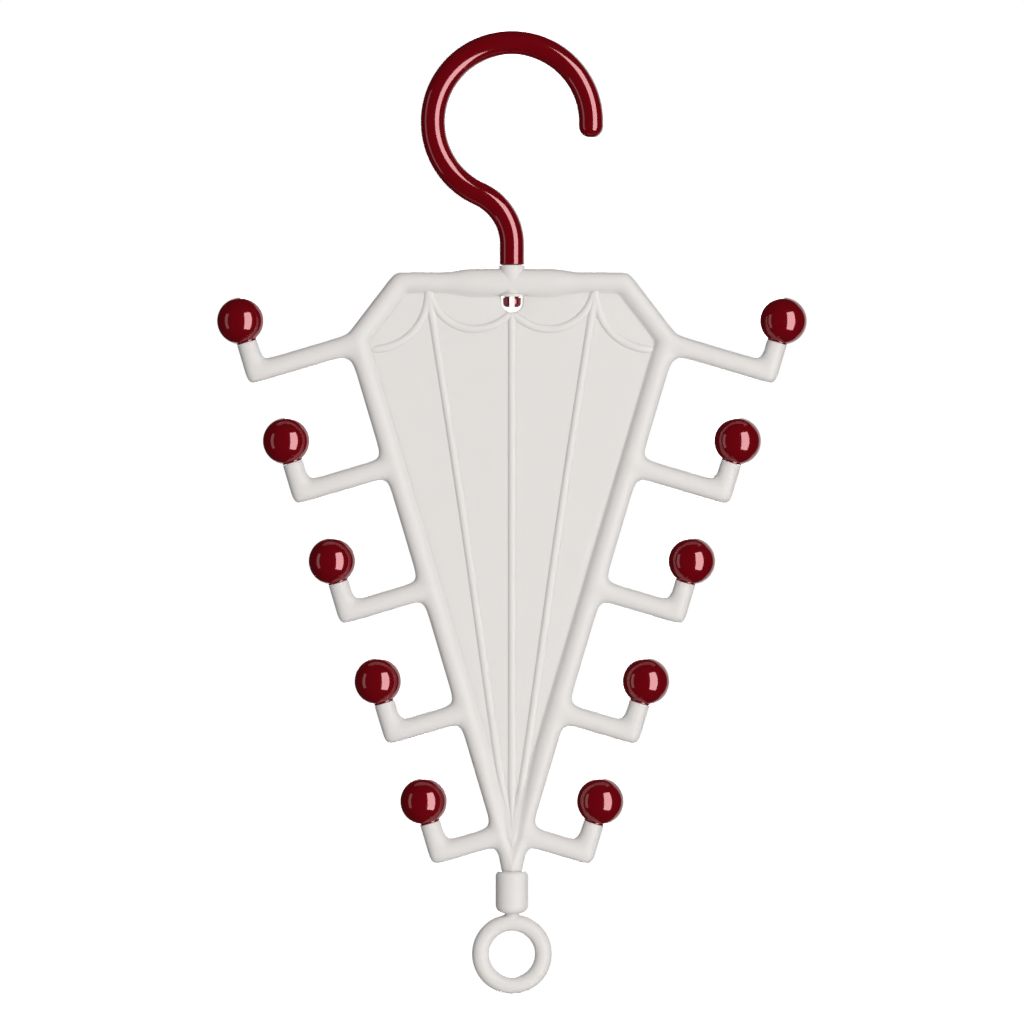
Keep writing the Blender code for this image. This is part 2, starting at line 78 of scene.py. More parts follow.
class Body(Enum):
    """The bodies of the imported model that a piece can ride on."""

    HOOK = "hook"
    FRAME = "frame"
    RING = "ring"


class Slot(Enum):
    """The material slots of the record."""

    RED = "red_plastic"
    WHITE = "white_plastic"


class Side(Enum):
    """The side of the hanger, as the sign of X."""

    LEFT = -1
    RIGHT = 1


class Operation(Enum):
    """What another body does to a piece."""

    JOIN = "UNION"
    CUT = "DIFFERENCE"


def joint_height(name: str) -> float:
    """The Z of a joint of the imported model, by its name."""
    return next(joint["pos_m"][2] for joint in frame["joints"] if joint["name"] == name)


def left_of(direction: Vector) -> Vector:
    """The unit direction to the left of a unit direction (x, z)."""
    return Vector((-direction.y, direction.x))


def in_space(point: Vector, depth: float = 0) -> Vector:
    """The point in space of a point (x, z) of the hanger's plane, at a depth along Y."""
    return Vector((point.x, depth, point.y))


def marks(*places: tuple[float, float]) -> Points:
    """The points (x, z) of pairs of numbers."""
    return [Vector(place) for place in places]


def both_sides(right: Points) -> Points:
    """An outline (x, z) of points on the right, followed by their mirror images."""
    return right + [Vector((-point.x, point.y)) for point in reversed(right)]


def arc(centre: Vector, radius: float, start: float, end: float, steps: int) -> Points:
    """Points along an arc in the plane of the hanger.

    Args:
        centre: The arc's centre (x, z).
        radius: The arc's radius.
        start: The first angle in radians.
        end: The last angle in radians.
        steps: The number of stretches between points.

    Returns:
        The points (x, z), both ends included.
    """
    angles = [start + (end - start) * step / steps for step in range(steps + 1)]
    return [centre + Vector((math.cos(angle), math.sin(angle))) * radius for angle in angles]


def oval(centre: Vector, side: Vector, depth: float, count: int) -> Points:
    """Points round an oval that stands across the plane of the hanger.

    Args:
        centre: Its centre (x, z).
        side: The way (x, z) from the centre to the first point.
        depth: The way along Y from the centre to the point a quarter round.
        count: The number of points.

    Returns:
        The points in space.
    """
    turns = [FULL_TURN * step / count for step in range(count)]
    return [in_space(centre + side * math.cos(turn), depth * math.sin(turn)) for turn in turns]


def between(table: Table, place: float) -> float:
    """The value of a table at a place, straight between its rows and the same beyond its ends.

    Args:
        table: Places in rising order with their values, in millimetres.
        place: Where the value is wanted, in metres.

    Returns:
        The value in metres.
    """
    rows = [(mark * MM, value * MM) for mark, value in table]
    if place <= rows[0][0]:
        return rows[0][1]
    for (near, low), (far, high) in zip(rows, rows[1:]):
        if place < far:
            return low + (high - low) * (place - near) / (far - near)
    return rows[-1][1]


def smooth_through(places: Points, steps: int) -> Points:
    """Points on a smooth line through places.

    Args:
        places: The places, which the line passes in order.
        steps: The number of stretches between two places.

    Returns:
        The points, both ends included.
    """
    places = [places[0] * 2 - places[1]] + places + [places[-1] * 2 - places[-2]]
    path = []
    for a, b, c, d in zip(places, places[1:], places[2:], places[3:]):
        for step in range(steps):
            t = step / steps
            bend = (a * 2 - b * 5 + c * 4 - d) * t**2 + (b * 3 - a - c * 3 + d) * t**3
            path.append(b + ((c - a) * t + bend) / 2)
    return path + [places[-2]]


def control_distance(radius: float, turn: float) -> float:
    """How far from a corner of a subdivided cage its neighbours stand for a given rounding.

    Args:
        radius: The radius that the corner ends up with.
        turn: The angle by which the edge turns there, in radians.

    Returns:
        The distance along each edge.
    """
    half = turn / 2
    return 3 * radius * (1 / math.cos(half) - 1) / math.sin(half)


def corner_reach(way_in: Vector, way_out: Vector, distance: float) -> Vector:
    """The way (x, z) from a corner of a path to the corner of a line to its left.

    Args:
        way_in: The path's unit direction (x, z) before the corner.
        way_out: Its unit direction after the corner.
        distance: How far beside the path the line runs.

    Returns:
        The way between the two corners.
    """
    middle = (left_of(way_in) + left_of(way_out)).normalized()
    return middle * distance / math.cos(way_in.angle(way_out) / 2)


@dataclass(frozen=True)
class Layout:
    """The hanger's driving sizes, which more than one sub-assembly reads."""

    rod_radius: float = 3.55 * MM
    top_corner_half_width: float = 39.0 * MM
    shoulder_half_width: float = 54.3 * MM
    shoulder_drop: float = 20.0 * MM
    frame_height: float = 202.6 * MM
    boss_height: float = 10.6 * MM
    lip_drop: float = 0.5 * MM
    top_rail_below_boss_middle: float = 0.5 * MM
    panel_half_thickness: float = 1.1 * MM
    arm_count: int = 5
    arm_first_offset: float = 1.2 * MM
    arm_pitch: float = 44.86 * MM
    arm_first_length: float = 37.2 * MM
    arm_length_step: float = 3.38 * MM
    knob_centre_height: float = 18.9 * MM
    knob_radius: float = 8.2 * MM
    knob_foot_length: float = 0.5 * MM
    clearance: float = 0.3 * MM
    barrel_length: float = 14.85 * MM
    barrel_lip: float = 3.0 * MM
    # How thick the web gets between the rails: distance from the tip and half thickness
    tip_floor: Table = ((0.0, 3.52), (5.8, 3.42), (9.86, 3.12), (14.9, 2.5), (27.0, 1.45), (36.0, 1.0))

    @property
    def boss_top_z(self) -> float:
        """Height of the boss's top, where the hook turns."""
        return joint_height("hook_swivel")

    @property
    def boss_bottom_z(self) -> float:
        """Height of the boss's underside, at the top of the window."""
        return self.boss_top_z - self.boss_height

    @property
    def lip_z(self) -> float:
        """Height of the lip's underside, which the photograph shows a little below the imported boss."""
        return self.boss_bottom_z - self.lip_drop

    @property
    def barrel_bottom_z(self) -> float:
        """Height of the barrel's underside, where the ring turns."""
        return joint_height("ring_swivel")

    @property
    def barrel_top_z(self) -> float:
        """Height of the barrel's top."""
        return self.barrel_bottom_z + self.barrel_length

    @property
    def top_rail_z(self) -> float:
        """Height of the top rail's axis."""
        return (self.boss_top_z + self.boss_bottom_z) / 2 - self.top_rail_below_boss_middle

    @property
    def top_corner(self) -> Vector:
        """The right top corner of the rail's axis (x, z)."""
        return Vector((self.top_corner_half_width, self.top_rail_z))

    @property
    def shoulder(self) -> Vector:
        """The right shoulder of the rail's axis (x, z)."""
        return Vector((self.shoulder_half_width, self.top_rail_z - self.shoulder_drop))

    @property
    def tip(self) -> Vector:
        """The point (x, z) where the axes of the two rails meet."""
        return Vector((0, self.top_rail_z - self.frame_height))

    @property
    def slope(self) -> Vector:
        """The direction (x, z) from the right top corner to the shoulder."""
        return (self.shoulder - self.top_corner).normalized()

    @property
    def down(self) -> Vector:
        """The direction (x, z) down the right rail."""
        return (self.tip - self.shoulder).normalized()

    @property
    def out(self) -> Vector:
        """The direction (x, z) from the right rail out along an arm."""
        return left_of(self.down)

    @property
    def lean(self) -> float:
        """How far the rails lean from upright, in radians."""
        return math.atan2(-self.down.x, -self.down.y)

    def arm_root(self, index: int) -> Vector:
        """The point (x, z) on the right rail's axis where an arm starts, counted from the top."""
        return self.shoulder + self.down * (self.arm_first_offset + self.arm_pitch * index)

    def knee(self, index: int) -> Vector:
        """The point (x, z) where a right arm turns up."""
        return self.arm_root(index) + self.out * (self.arm_first_length - self.arm_length_step * index)

    def knob_centre(self, index: int) -> Vector:
        """The centre (x, z) of a right knob's ball."""
        return self.knee(index) - self.down * self.knob_centre_height

    @property
    def knob_foot_drop(self) -> float:
        """How far below the ball's centre the knob's flat foot lies."""
        return math.sqrt(self.knob_radius**2 - self.rod_radius**2) + self.knob_foot_length


def deselect_all() -> None:
    """Go back to object mode and deselect everything."""
    if bpy.context.mode != "OBJECT":
        bpy.ops.object.mode_set(mode="OBJECT")
    bpy.ops.object.select_all(action="DESELECT")


def pick(obj: Piece) -> None:
    """Select one object alone and make it the active one.

    Args:
        obj: The object.
    """
    deselect_all()
    obj.select_set(True)
    bpy.context.view_layer.objects.active = obj


def edit_all(obj: Piece) -> None:
    """Go into edit mode on one object, with its whole mesh selected.

    Args:
        obj: The object.
    """
    pick(obj)
    bpy.ops.object.mode_set(mode="EDIT")
    bpy.ops.mesh.select_all(action="SELECT")


def name_new(name: str) -> Piece:
    """Name the object that an operator has just added.

    Args:
        name: The piece's name.

    Returns:
        The object.
    """
    obj = bpy.context.active_object
    obj.name = name
    obj.data.name = name
    return obj


def apply_place(obj: Piece) -> None:
    """Move an object's place, turn and scale into its mesh."""
    pick(obj)
    bpy.ops.object.transform_apply(location=True, rotation=True, scale=True)


def apply_modifiers(obj: Piece) -> None:
    """Apply all modifiers of an object in order.

    Args:
        obj: The object.
    """
    pick(obj)
    for modifier in list(obj.modifiers):
        bpy.ops.object.modifier_apply(modifier=modifier.name)


def subdivide_smooth(obj: Piece, levels: int) -> None:
    """Round a cage with a Subdivision Surface modifier and apply it.

    Args:
        obj: The cage.
        levels: How often it is subdivided.
    """
    modifier = obj.modifiers.new("round", "SUBSURF")
    modifier.levels = levels
    modifier.render_levels = levels
    apply_modifiers(obj)


def close_and_orient(obj: Piece) -> None:
    """Merge doubled points of a mesh and turn all its faces outwards.

    Args:
        obj: The piece, which ends in object mode.
    """
    edit_all(obj)
    bpy.ops.mesh.remove_doubles(threshold=MERGE_DISTANCE)
    bpy.ops.mesh.normals_make_consistent(inside=False)
    bpy.ops.object.mode_set(mode="OBJECT")


def shade(obj: Piece, sharp_degrees: float) -> None:
    """Shade smooth, with edges sharper than an angle left sharp."""
    pick(obj)
    bpy.ops.object.shade_smooth_by_angle(angle=math.radians(sharp_degrees))


def select_points(obj: Piece, places: Points, faces: bool) -> None:
    """Select what lies between points of the mesh in edit mode.

    Args:
        obj: The object in edit mode.
        places: Where the points are.
        faces: Whether to select the faces between them, or else the edges.
    """
    mesh = bmesh.from_edit_mesh(obj.data)
    for part in (mesh.faces, mesh.edges, mesh.verts):
        for item in part:
            item.select_set(False)
    wanted = [v for v in mesh.verts if any((v.co - place).length < MERGE_DISTANCE for place in places)]
    for item in mesh.faces if faces else mesh.edges:
        if all(v in wanted for v in item.verts):
            item.select_set(True)
    bmesh.update_edit_mesh(obj.data)


def extrude_along(obj: Piece, rings: Rings) -> None:
    """Extrude what is selected from ring to ring.

    Args:
        obj: The object in edit mode, with the points of the first ring selected.
        rings: The rings in order, each with its points in the same order.
    """
    for places, targets in zip(rings, rings[1:]):
        bpy.ops.mesh.extrude_region_move(TRANSFORM_OT_translate={"value": (0, 0, 0)})
        mesh = bmesh.from_edit_mesh(obj.data)
        for vert in [v for v in mesh.verts if v.select]:
            distances = [(place - vert.co).length for place in places]
            vert.co = targets[distances.index(min(distances))]
        bmesh.update_edit_mesh(obj.data)


def ring_start(name: str, points: Points) -> Piece:
    """Add an open ring of points, from a circle, and stay in edit mode with the ring selected.

    Args:
        name: The piece's name.
        points: The ring's points in order.

    Returns:
        The object, in edit mode.
    """
    deselect_all()
    bpy.ops.mesh.primitive_circle_add(vertices=len(points), radius=1, fill_type="NOTHING")
    obj = name_new(name)
    for vert, point in zip(obj.data.vertices, points):
        vert.co = point
    edit_all(obj)
    return obj


def loft(name: str, rings: Rings) -> Piece:
    """Extrude a filled ring along sections.

    Args:
        name: The piece's name.
        rings: The sections in order, each with its points in the same order.

    Returns:
        The closed piece.
    """
    obj = ring_start(name, rings[0])
    bpy.ops.mesh.edge_face_add()
    extrude_along(obj, rings)
    close_and_orient(obj)
    return obj


def slab(name: str, outline: Points, half_thickness: float) -> Piece:
    """Extrude a flat plate from its outline.

    Args:
        name: The piece's name.
        outline: Its corners (x, z).
        half_thickness: Half its thickness along Y.

    Returns:
        The closed plate.
    """
    obj = ring_start(name, [in_space(point, -half_thickness) for point in outline])
    bpy.ops.mesh.edge_face_add()
    bpy.ops.mesh.extrude_region_move(TRANSFORM_OT_translate={"value": (0, 2 * half_thickness, 0)})
    close_and_orient(obj)
    return obj


def lathe(name: str, profile: Points, sides: int) -> Piece:
    """Turn a profile about the upright axis with the spin tool.

    Args:
        name: The piece's name.
        profile: Points (radius, z) from one end on the axis to the other.
        sides: The number of sides of the turned piece.

    Returns:
        The closed piece.
    """
    deselect_all()
    bpy.ops.mesh.primitive_plane_add(size=1)
    obj = name_new(name)
    edit_all(obj)
    bpy.ops.mesh.merge(type="CENTER")
    bpy.ops.transform.translate(value=in_space(profile[0]))
    for before, after in zip(profile, profile[1:]):
        step = (after.x - before.x, 0, after.y - before.y)
        bpy.ops.mesh.extrude_region_move(TRANSFORM_OT_translate={"value": step})
    bpy.ops.mesh.select_all(action="SELECT")
    bpy.ops.mesh.spin(steps=sides, angle=FULL_TURN, center=(0, 0, 0), axis=(0, 0, 1))
    close_and_orient(obj)
    return obj


def boolean(obj: Piece, other: Piece, operation: Operation) -> None:
    """Join another body to a piece, or cut it out of the piece, and delete that body.

    Args:
        obj: The piece.
        other: The body to join or to cut out.
        operation: Which of the two.
    """
    modifier = obj.modifiers.new("join_or_cut", "BOOLEAN")
    modifier.operation = operation.value
    modifier.solver = "EXACT"
    modifier.object = other
    apply_modifiers(obj)
    bpy.data.objects.remove(other, do_unlink=True)


def connect(tree: bpy.types.NodeTree, node: bpy.types.Node, inputs: dict[str | int, object]) -> None:
    """Give the sockets of a node what they need.

    Args:
        tree: The node tree.
        node: The node.
        inputs: For each socket, by name or number, its value or the output that is linked to it.
    """
    for socket, given in inputs.items():
        if isinstance(given, bpy.types.NodeSocket):
            tree.links.new(given, node.inputs[socket])
        else:
            node.inputs[socket].default_value = given


def add_node(tree: bpy.types.NodeTree, kind: str, inputs: dict[str | int, object]) -> bpy.types.Node:
    """Add a node.

    Args:
        tree: The node tree.
        kind: The node's type.
        inputs: For each socket, by name or number, its value or the output that is linked to it.

    Returns:
        The node.
    """
    node = tree.nodes.new(kind)
    connect(tree, node, inputs)
    return node


def grey(level: float) -> tuple[float, ...]:
    """A grey of a given brightness, as a colour socket takes it."""
    return (level, level, level, 1)


@dataclass(frozen=True)
class MouldedPlastic:
    """A moulded plastic with faint clouding, slightly uneven gloss, painted shade at the rim and, if asked, a
    grain.

    Its roughness keeps clear of whole multiples of 1/15, where the gloss breaks into bright specks.
    """

    name: str
    colour: tuple[float, float, float]
    clouding: float
    roughness: float
    roughness_spread: float
    ior: float
    sheen_level: float
    sheen_tint: tuple[float, float, float]
    # How dark the painted shade at the rim makes the colour, where 1 paints none
    painted_rim_shade: float = 1.0
    subsurface: float = 0.0
    subsurface_reach: float = 1.0 * MM
    grain_size: float = 1.6 * MM
    grain_height: float = 0.0
    grain_layers: int = 2
    cloud_size: float = 9 * MM
    cloud_layers: int = 3
    wear_size: float = 2.5 * MM
    wear_layers: int = 4
    # Where the painted shade at the rim starts and is full, as shares of the turn away from the eye
    rim_shade_start: float = 0.35
    rim_shade_full: float = 0.9
    # How far red, green and blue spread inside, as shares of the reach
    subsurface_shares: tuple[float, float, float] = (1.0, 0.9, 0.8)

    def build(self) -> bpy.types.Material:
        """Make the material.

        Returns:
            The node material, on Object coordinates.
        """
        material = bpy.data.materials.new(self.name)
        material.use_nodes = True
        tree = material.node_tree
        place = tree.nodes.new("ShaderNodeTexCoord").outputs["Object"]
        low = tuple(channel * (1 - self.clouding) for channel in self.colour)
        high = tuple(min(1, channel * (1 + self.clouding)) for channel in self.colour)
        tint = tree.nodes.new("ShaderNodeMix")
        tint.data_type = "RGBA"
        cloud = self.noise(tree, place, self.cloud_size, self.cloud_layers)
        connect(tree, tint, {MIX_SHARE: cloud, MIX_FIRST: (*low, 1), MIX_SECOND: (*high, 1)})
        # Painted shade: the colour darkens towards the rim, where the surface turns away from the eye
        painted_rim_shade = {
            "Value": add_node(tree, "ShaderNodeLayerWeight", {"Blend": EVEN_BLEND}).outputs["Facing"],
            "From Min": self.rim_shade_start,
            "From Max": self.rim_shade_full,
            "To Min": 1.0,
            "To Max": self.painted_rim_shade,
        }
        rim_shaded_colour = tree.nodes.new("ShaderNodeVectorMath")
        rim_shaded_colour.operation = "SCALE"
        share = add_node(tree, "ShaderNodeMapRange", painted_rim_shade).outputs["Result"]
        connect(tree, rim_shaded_colour, {0: tint.outputs[MIX_RESULT], "Scale": share})
        gloss = {
            "Value": self.noise(tree, place, self.wear_size, self.wear_layers),
            "To Min": self.roughness - self.roughness_spread,
            "To Max": self.roughness + self.roughness_spread,
        }
        surface = {
            "Base Color": rim_shaded_colour.outputs["Vector"],
            "Roughness": add_node(tree, "ShaderNodeMapRange", gloss).outputs["Result"],
            "IOR": self.ior,
            "Specular IOR Level": self.sheen_level,
            "Specular Tint": (*self.sheen_tint, 1),
            "Subsurface Weight": self.subsurface,
            "Subsurface Scale": self.subsurface_reach,
            "Subsurface Radius": self.subsurface_shares,
        }
        if self.grain_height:
            grain = self.noise(tree, place, self.grain_size, self.grain_layers)
            inputs = {"Height": grain, "Strength": 1, "Distance": self.grain_height}
            bump = add_node(tree, "ShaderNodeBump", inputs)
            surface["Normal"] = bump.outputs["Normal"]
        connect(tree, tree.nodes["Principled BSDF"], surface)
        return material

    @staticmethod
    def noise(
        tree: bpy.types.NodeTree, place: bpy.types.NodeSocket, size: float, layers: float
    ) -> bpy.types.NodeSocket:
        """Add a noise pattern on the piece's own coordinates.

        Args:
            tree: The material's node tree.
            place: The output with the coordinates.
            size: The size of the pattern's spots.
            layers: How many finer layers it has.

        Returns:
            The output with the pattern.
        """
        inputs = {"Vector": place, "Scale": 1 / size, "Detail": layers}
        return add_node(tree, "ShaderNodeTexNoise", inputs).outputs["Fac"]


RED_PLASTIC = MouldedPlastic(
    name="red_gloss_plastic",
    colour=(0.15, 0.0008, 0.004),
    clouding=0.04,
    roughness=0.08,
    roughness_spread=0.011,
    ior=1.52,
    sheen_level=0.95,
    sheen_tint=(1.0, 0.53, 0.56),
    grain_height=0.002 * MM,
)

WHITE_PLASTIC = MouldedPlastic(
    name="white_satin_plastic",
    colour=(0.771, 0.746, 0.722),
    clouding=0.006,
    roughness=0.285,
    roughness_spread=0.012,
    ior=1.49,
    sheen_level=0.5,
    sheen_tint=(0.1, 0.1, 0.1),
    # Painted shade darkens the white towards its rim
    painted_rim_shade=0.72,
    subsurface=0.4,
    subsurface_reach=1.2 * MM,
)


@dataclass
class Wardrobe:
    """The finishes, made once, and what each piece is told about its slot and body."""

    materials: dict[Slot, bpy.types.Material] = field(init=False)

    def __post_init__(self) -> None:
        """Make both plastics."""
        self.materials = {Slot.RED: RED_PLASTIC.build(), Slot.WHITE: WHITE_PLASTIC.build()}

    def dress(self, obj: Piece, slot: Slot, body: Body, nodes: list[str]) -> None:
        """Give a piece its finish and its place in the model.

        Args:
            obj: The finished piece, at the origin.
            slot: The record's material slot.
            body: The body that it rides on.
            nodes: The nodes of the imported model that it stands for.
        """
        obj.data.materials.clear()
        obj.data.materials.append(self.materials[slot])
        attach(obj, body.value)
        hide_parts(*nodes)
        log.info("%s: %d faces on %s", obj.name, len(obj.data.polygons), body.value)


@dataclass
class Rails:
    """The rails with their arms, as one cage on the right that is mirrored and rounded."""

    layout: Layout
    arm_half_depth: float = 3.35 * MM
    top_corner_radius: float = 5.5 * MM
    top_corner_inner_radius: float = 3.8 * MM
    shoulder_reach: float = 3.0 * MM
    root_radius: float = 3.25 * MM
    first_root_lower_radius: float = 4.3 * MM
    first_root_upper_reach: float = 3.0 * MM
    # How far below the shoulder's inner corner the first arm's middle and lower rows end
    first_root_inner_drops: tuple[float, float] = (1.6 * MM, 4.0 * MM)
    knee_radius: float = 3.1 * MM
    swelling_half_height: float = 4.8 * MM
    swelling_half_depth: float = 4.2 * MM
    # Sections of the top rail's swelling: place and share of the fin, and the plain places after it
    swelling: Table = ((0.0, 0), (5.6, 0), (8.0, 1), (12.2, 1), (15.5, 1))
    plain_places: tuple[float, ...] = (21.6, 25.4)
    # How narrow the rail's inner side gets: distance from the tip and half width
    inner_taper: Table = (
        (-9.0, 0.5), (0.0, 0.6), (5.8, 0.9), (9.86, 1.3), (14.9, 1.65), (27.7, 2.45), (36.8, 3.4),
        (45.0, 3.55),
    )
    # Distances from the tip of two more sections above the last arm
    taper_places: tuple[float, ...] = (36.8, 27.0)
    # Sections of the neck: height above the barrel's top, offset, half width and half depth
    neck: Table = ((3.5, 0.5, 3.8, 3.5), (1.4, 0.1, 3.75, 3.5), (-0.2, 0.0, 3.6, 3.5), (-1.6, 0.0, 3.55, 3.5))
    seat_gap: float = 0.06 * MM
    # Rings at an arm's end: heights above its seat at full width, the seat's share of that width, and the
    # pin's heights and radii
    end_heights: tuple[float, ...] = (-0.9, -0.12, 0.0)
    seat_share: float = 0.95
    pin: Table = ((0.0, 1.8), (0.2, 1.6), (6.2, 1.6), (6.5, 1.28))
    levels: int = 2

    # Rounding makes a ring of eight control points smaller, and this share makes up for it
    cage_share: float = 1.1086
    # The diagonal point over the inner side stands in from a true oval by these shares of place and height
    flank_shares: tuple[float, float] = (0.98, 0.965)
    # Fin on the inner side that runs into the panel as a fillet: places inwards, as shares of the rod's
    # radius, and heights, as shares of the half thickness of the panel or, at the tip, of its floor
    web_fin: Table = ((1.0, 1.0), (1.24, 0.93), (1.7, 0.75))
    tip_fin: Table = ((1.014, 0.98), (1.58, 0.965), (2.25, 0.91))
    # The same points where the rod is round: angles in degrees and radii as shares
    round_points: Table = ((22.5, 1.05), (11.0, 1.015), (4.0, 1.005))

    def section(
        self, outer: Vector, inner: Vector, half_depth: float, fin: float = 1, floor: float = 0
    ) -> Points:
        """Control points round the rail between its two edges.

        Args:
            outer: The point (x, z) on the rail's outer edge.
            inner: The point (x, z) on its inner edge.
            half_depth: Half the rail's depth.
            fin: How much of the fin there is, from 0 to 1.
            floor: The fin's half thickness, or 0 for that of the web.

        Returns:
            Thirteen points, from the outer edge over the front to the inner edge and back.
        """
        middle = (outer + inner) / 2
        reach = (inner - outer) / 2
        half = DIAGONAL * self.cage_share
        flank_place, flank_height = self.flank_shares
        front = [(-half, half * half_depth), (0.0, self.cage_share * half_depth)]
        front.append((half * flank_place, half * flank_height * half_depth))
        web = self.layout.panel_half_thickness
        level = max(floor, web)
        fin_points = self.tip_fin if floor > web else self.web_fin
        for (place, height), (angle, radius) in zip(fin_points, self.round_points):
            turn = math.radians(angle)
            across, up = radius * math.cos(turn), radius * math.sin(turn) * half_depth
            front.append((across + (place - across) * fin, up + (height * level - up) * fin))
        ring = [(-self.cage_share, 0.0)] + front + [(u, -v) for u, v in reversed(front)]
        return [in_space(middle + reach * u, -v) for u, v in ring]

    def straight(
        self, point: Vector, way: Vector, half_width: float, half_depth: float, fin: float = 1
    ) -> Points:
        """A section square to a path, about a point of it and as wide to the left as to the right."""
        side = left_of(way) * half_width
        return self.section(point + side, point - side, half_depth, fin)

    def rail_section(self, point: Vector) -> Points:
        """A section square to the right rail, which narrows on its inner side towards the tip.

        Args:
            point: The point (x, z) on the rail's axis.

        Returns:
            The section's control points.
        """
        layout, rod = self.layout, self.layout.rod_radius
        distance = (layout.tip - point).dot(layout.down)
        inner, floor = between(self.inner_taper, distance), between(layout.tip_floor, distance)
        return self.section(point + layout.out * rod, point - layout.out * inner, rod, floor=floor)

    def corner_sections(self) -> Rings:
        """The sections before, at and after the top corner, whose two edges have their own roundings.

        Returns:
            The three sections.
        """
        layout, rod = self.layout, self.layout.rod_radius
        turn = RIGHT.angle(layout.slope)
        across = corner_reach(RIGHT, layout.slope, rod)
        far = control_distance(self.top_corner_radius, turn)
        near = control_distance(self.top_corner_inner_radius, turn)
        sections = []
        for way in (-RIGHT, RIGHT * 0, layout.slope):
            outer = layout.top_corner + across + way * far
            inner = layout.top_corner - across + way * near
            sections.append(self.section(outer, inner, rod))
        return sections

    def root_rows(self, index: int) -> Rings:
        """Three sections across an arm's root: above it, through it and below it.

        Args:
            index: The arm, counted from the top.

        Returns:
            The three sections. Their outer points are the arm's root.
        """
        layout = self.layout
        root = layout.arm_root(index)
        full = self.cage_share * layout.rod_radius
        half = DIAGONAL * full
        if index:
            rows = [self.rail_section(root + layout.down * along) for along in (-half, 0, half)]
            rows[0][0] = in_space(root - layout.down * full + layout.out * full)
        else:
            rows = self.first_rows(root, full, half)
        rows[2][0] = in_space(root + layout.down * full + layout.out * full)
        crest = self.cage_share * self.arm_half_depth
        rows[1][1].y, rows[1][-1].y = -crest, crest
        return rows

    def first_rows(self, root: Vector, full: float, half: float) -> Rings:
        """The rows of the first arm, whose upper edge runs into the shoulder.

        Args:
            root: The point (x, z) on the rail's axis where the arm starts.
            full: How far the cage's edges stand from the axis.
            half: How far its diagonal points stand along and across.

        Returns:
            The three sections.
        """
        layout, rod = self.layout, self.layout.rod_radius
        up, normal = -layout.down, left_of(layout.slope)
        inner = layout.shoulder - corner_reach(layout.slope, layout.down, rod)
        rise = full - layout.arm_first_offset
        reach = (full - rise * normal.dot(up)) / normal.dot(layout.out)
        corner = layout.shoulder + up * rise + layout.out * reach
        rows = [self.section(inner + (corner - inner) * (2 / (1 + self.cage_share)), inner, rod)]
        rows[0][0] = in_space(corner)
        for along, drop in zip((0, half), self.first_root_inner_drops):
            outer = root + layout.down * along + layout.out * rod
            rows.append(self.section(outer, inner + layout.down * drop, rod))
        return rows

    def arm_ring(self, lower: Vector, upper: Vector, half_depth: float) -> Points:
        """Eight control points round an arm and one in the middle of its end.

        Args:
            lower: The point (x, z) on the arm's lower or outer edge.
            upper: The point (x, z) on its upper or inner edge.
            half_depth: Half the arm's depth.

        Returns:
            The points in the order of the root's points.
        """
        middle = (lower + upper) / 2
        reach = (upper - lower) / 2 * self.cage_share
        depth = half_depth * self.cage_share
        half = DIAGONAL
        turns = [(1, 0), (half, half), (half, -half), (0, 1), (0, -1), (-1, 0), (-half, half), (-half, -half)]
        turns.append((0, 0))
        return [in_space(middle + reach * u, -depth * v) for u, v in turns]

    def arm_rings(self, index: int) -> Rings:
        """The rings of a right arm from the end of its root's flare to the top of its pin.

        Args:
            index: The arm, counted from the top.

        Returns:
            The rings in order.
        """
        layout, rod, deep = self.layout, self.layout.rod_radius, self.arm_half_depth
        root, knee = layout.arm_root(index), layout.knee(index)
        out, up = layout.out, -layout.down
        lower_flare = upper_flare = rod + control_distance(self.root_radius, QUARTER_TURN)
        if index == 0:
            lower_flare = rod + control_distance(self.first_root_lower_radius, QUARTER_TURN)
            upper_flare = rod + self.first_root_upper_reach
        lower, upper = root - up * rod + out * lower_flare, root + up * rod + out * upper_flare
        rings = [self.arm_ring(lower, upper, deep)]
        reach = control_distance(self.knee_radius, QUARTER_TURN)
        outer, inner = knee - up * rod + out * rod, knee + up * rod - out * rod
        for shift, half_depth in ((out * -reach, deep), (out * 0, deep), (up * reach, (rod + deep) / 2)):
            rings.append(self.arm_ring(outer + shift, inner + shift, half_depth))
        seat = layout.knob_centre_height - layout.knob_foot_drop - self.seat_gap
        steps = [(height * MM, rod) for height in self.end_heights] + [(0, rod * self.seat_share)]
        for height, radius in steps + [(height * MM, radius * MM) for height, radius in self.pin]:
            centre = knee + up * (seat + height)
            rings.append(self.arm_ring(centre + out * radius, centre - out * radius, radius))
        return rings

    def rail_sections(self, rows: list[Rings]) -> Rings:
        """All sections of the right rail in order.

        Args:
            rows: The root rows of each arm.

        Returns:
            The sections, from the middle of the top rail to the last arm's root.
        """
        layout, rod = self.layout, self.layout.rod_radius
        slope, z = layout.slope, layout.top_rail_z
        tall, deep = self.swelling_half_height, self.swelling_half_depth
        sections = []
        for place, fin in self.swelling:
            sections.append(self.straight(Vector((place * MM, z)), RIGHT, tall, deep, fin))
        for place in self.plain_places:
            sections.append(self.straight(Vector((place * MM, z)), RIGHT, rod, rod))
        sections += self.corner_sections()
        back = slope * self.shoulder_reach
        above = rows[0][0][0].xz - back - left_of(slope) * (self.cage_share - 1) * rod
        inner_corner = layout.shoulder - corner_reach(slope, layout.down, rod)
        sections.append(self.section(above, inner_corner - back, rod))
        for index, three in enumerate(rows):
            root = layout.arm_root(index)
            radius = self.root_radius if index else self.first_root_lower_radius
            reach = layout.down * (rod + control_distance(radius, QUARTER_TURN))
            last = index == layout.arm_count - 1
            for distance in self.taper_places if last else ():
                sections.append(self.rail_section(layout.tip - layout.down * (distance * MM)))
            if index:
                sections.append(self.rail_section(root - reach))
            sections += three
            if not last:
                sections.append(self.rail_section(root + reach))
        return sections

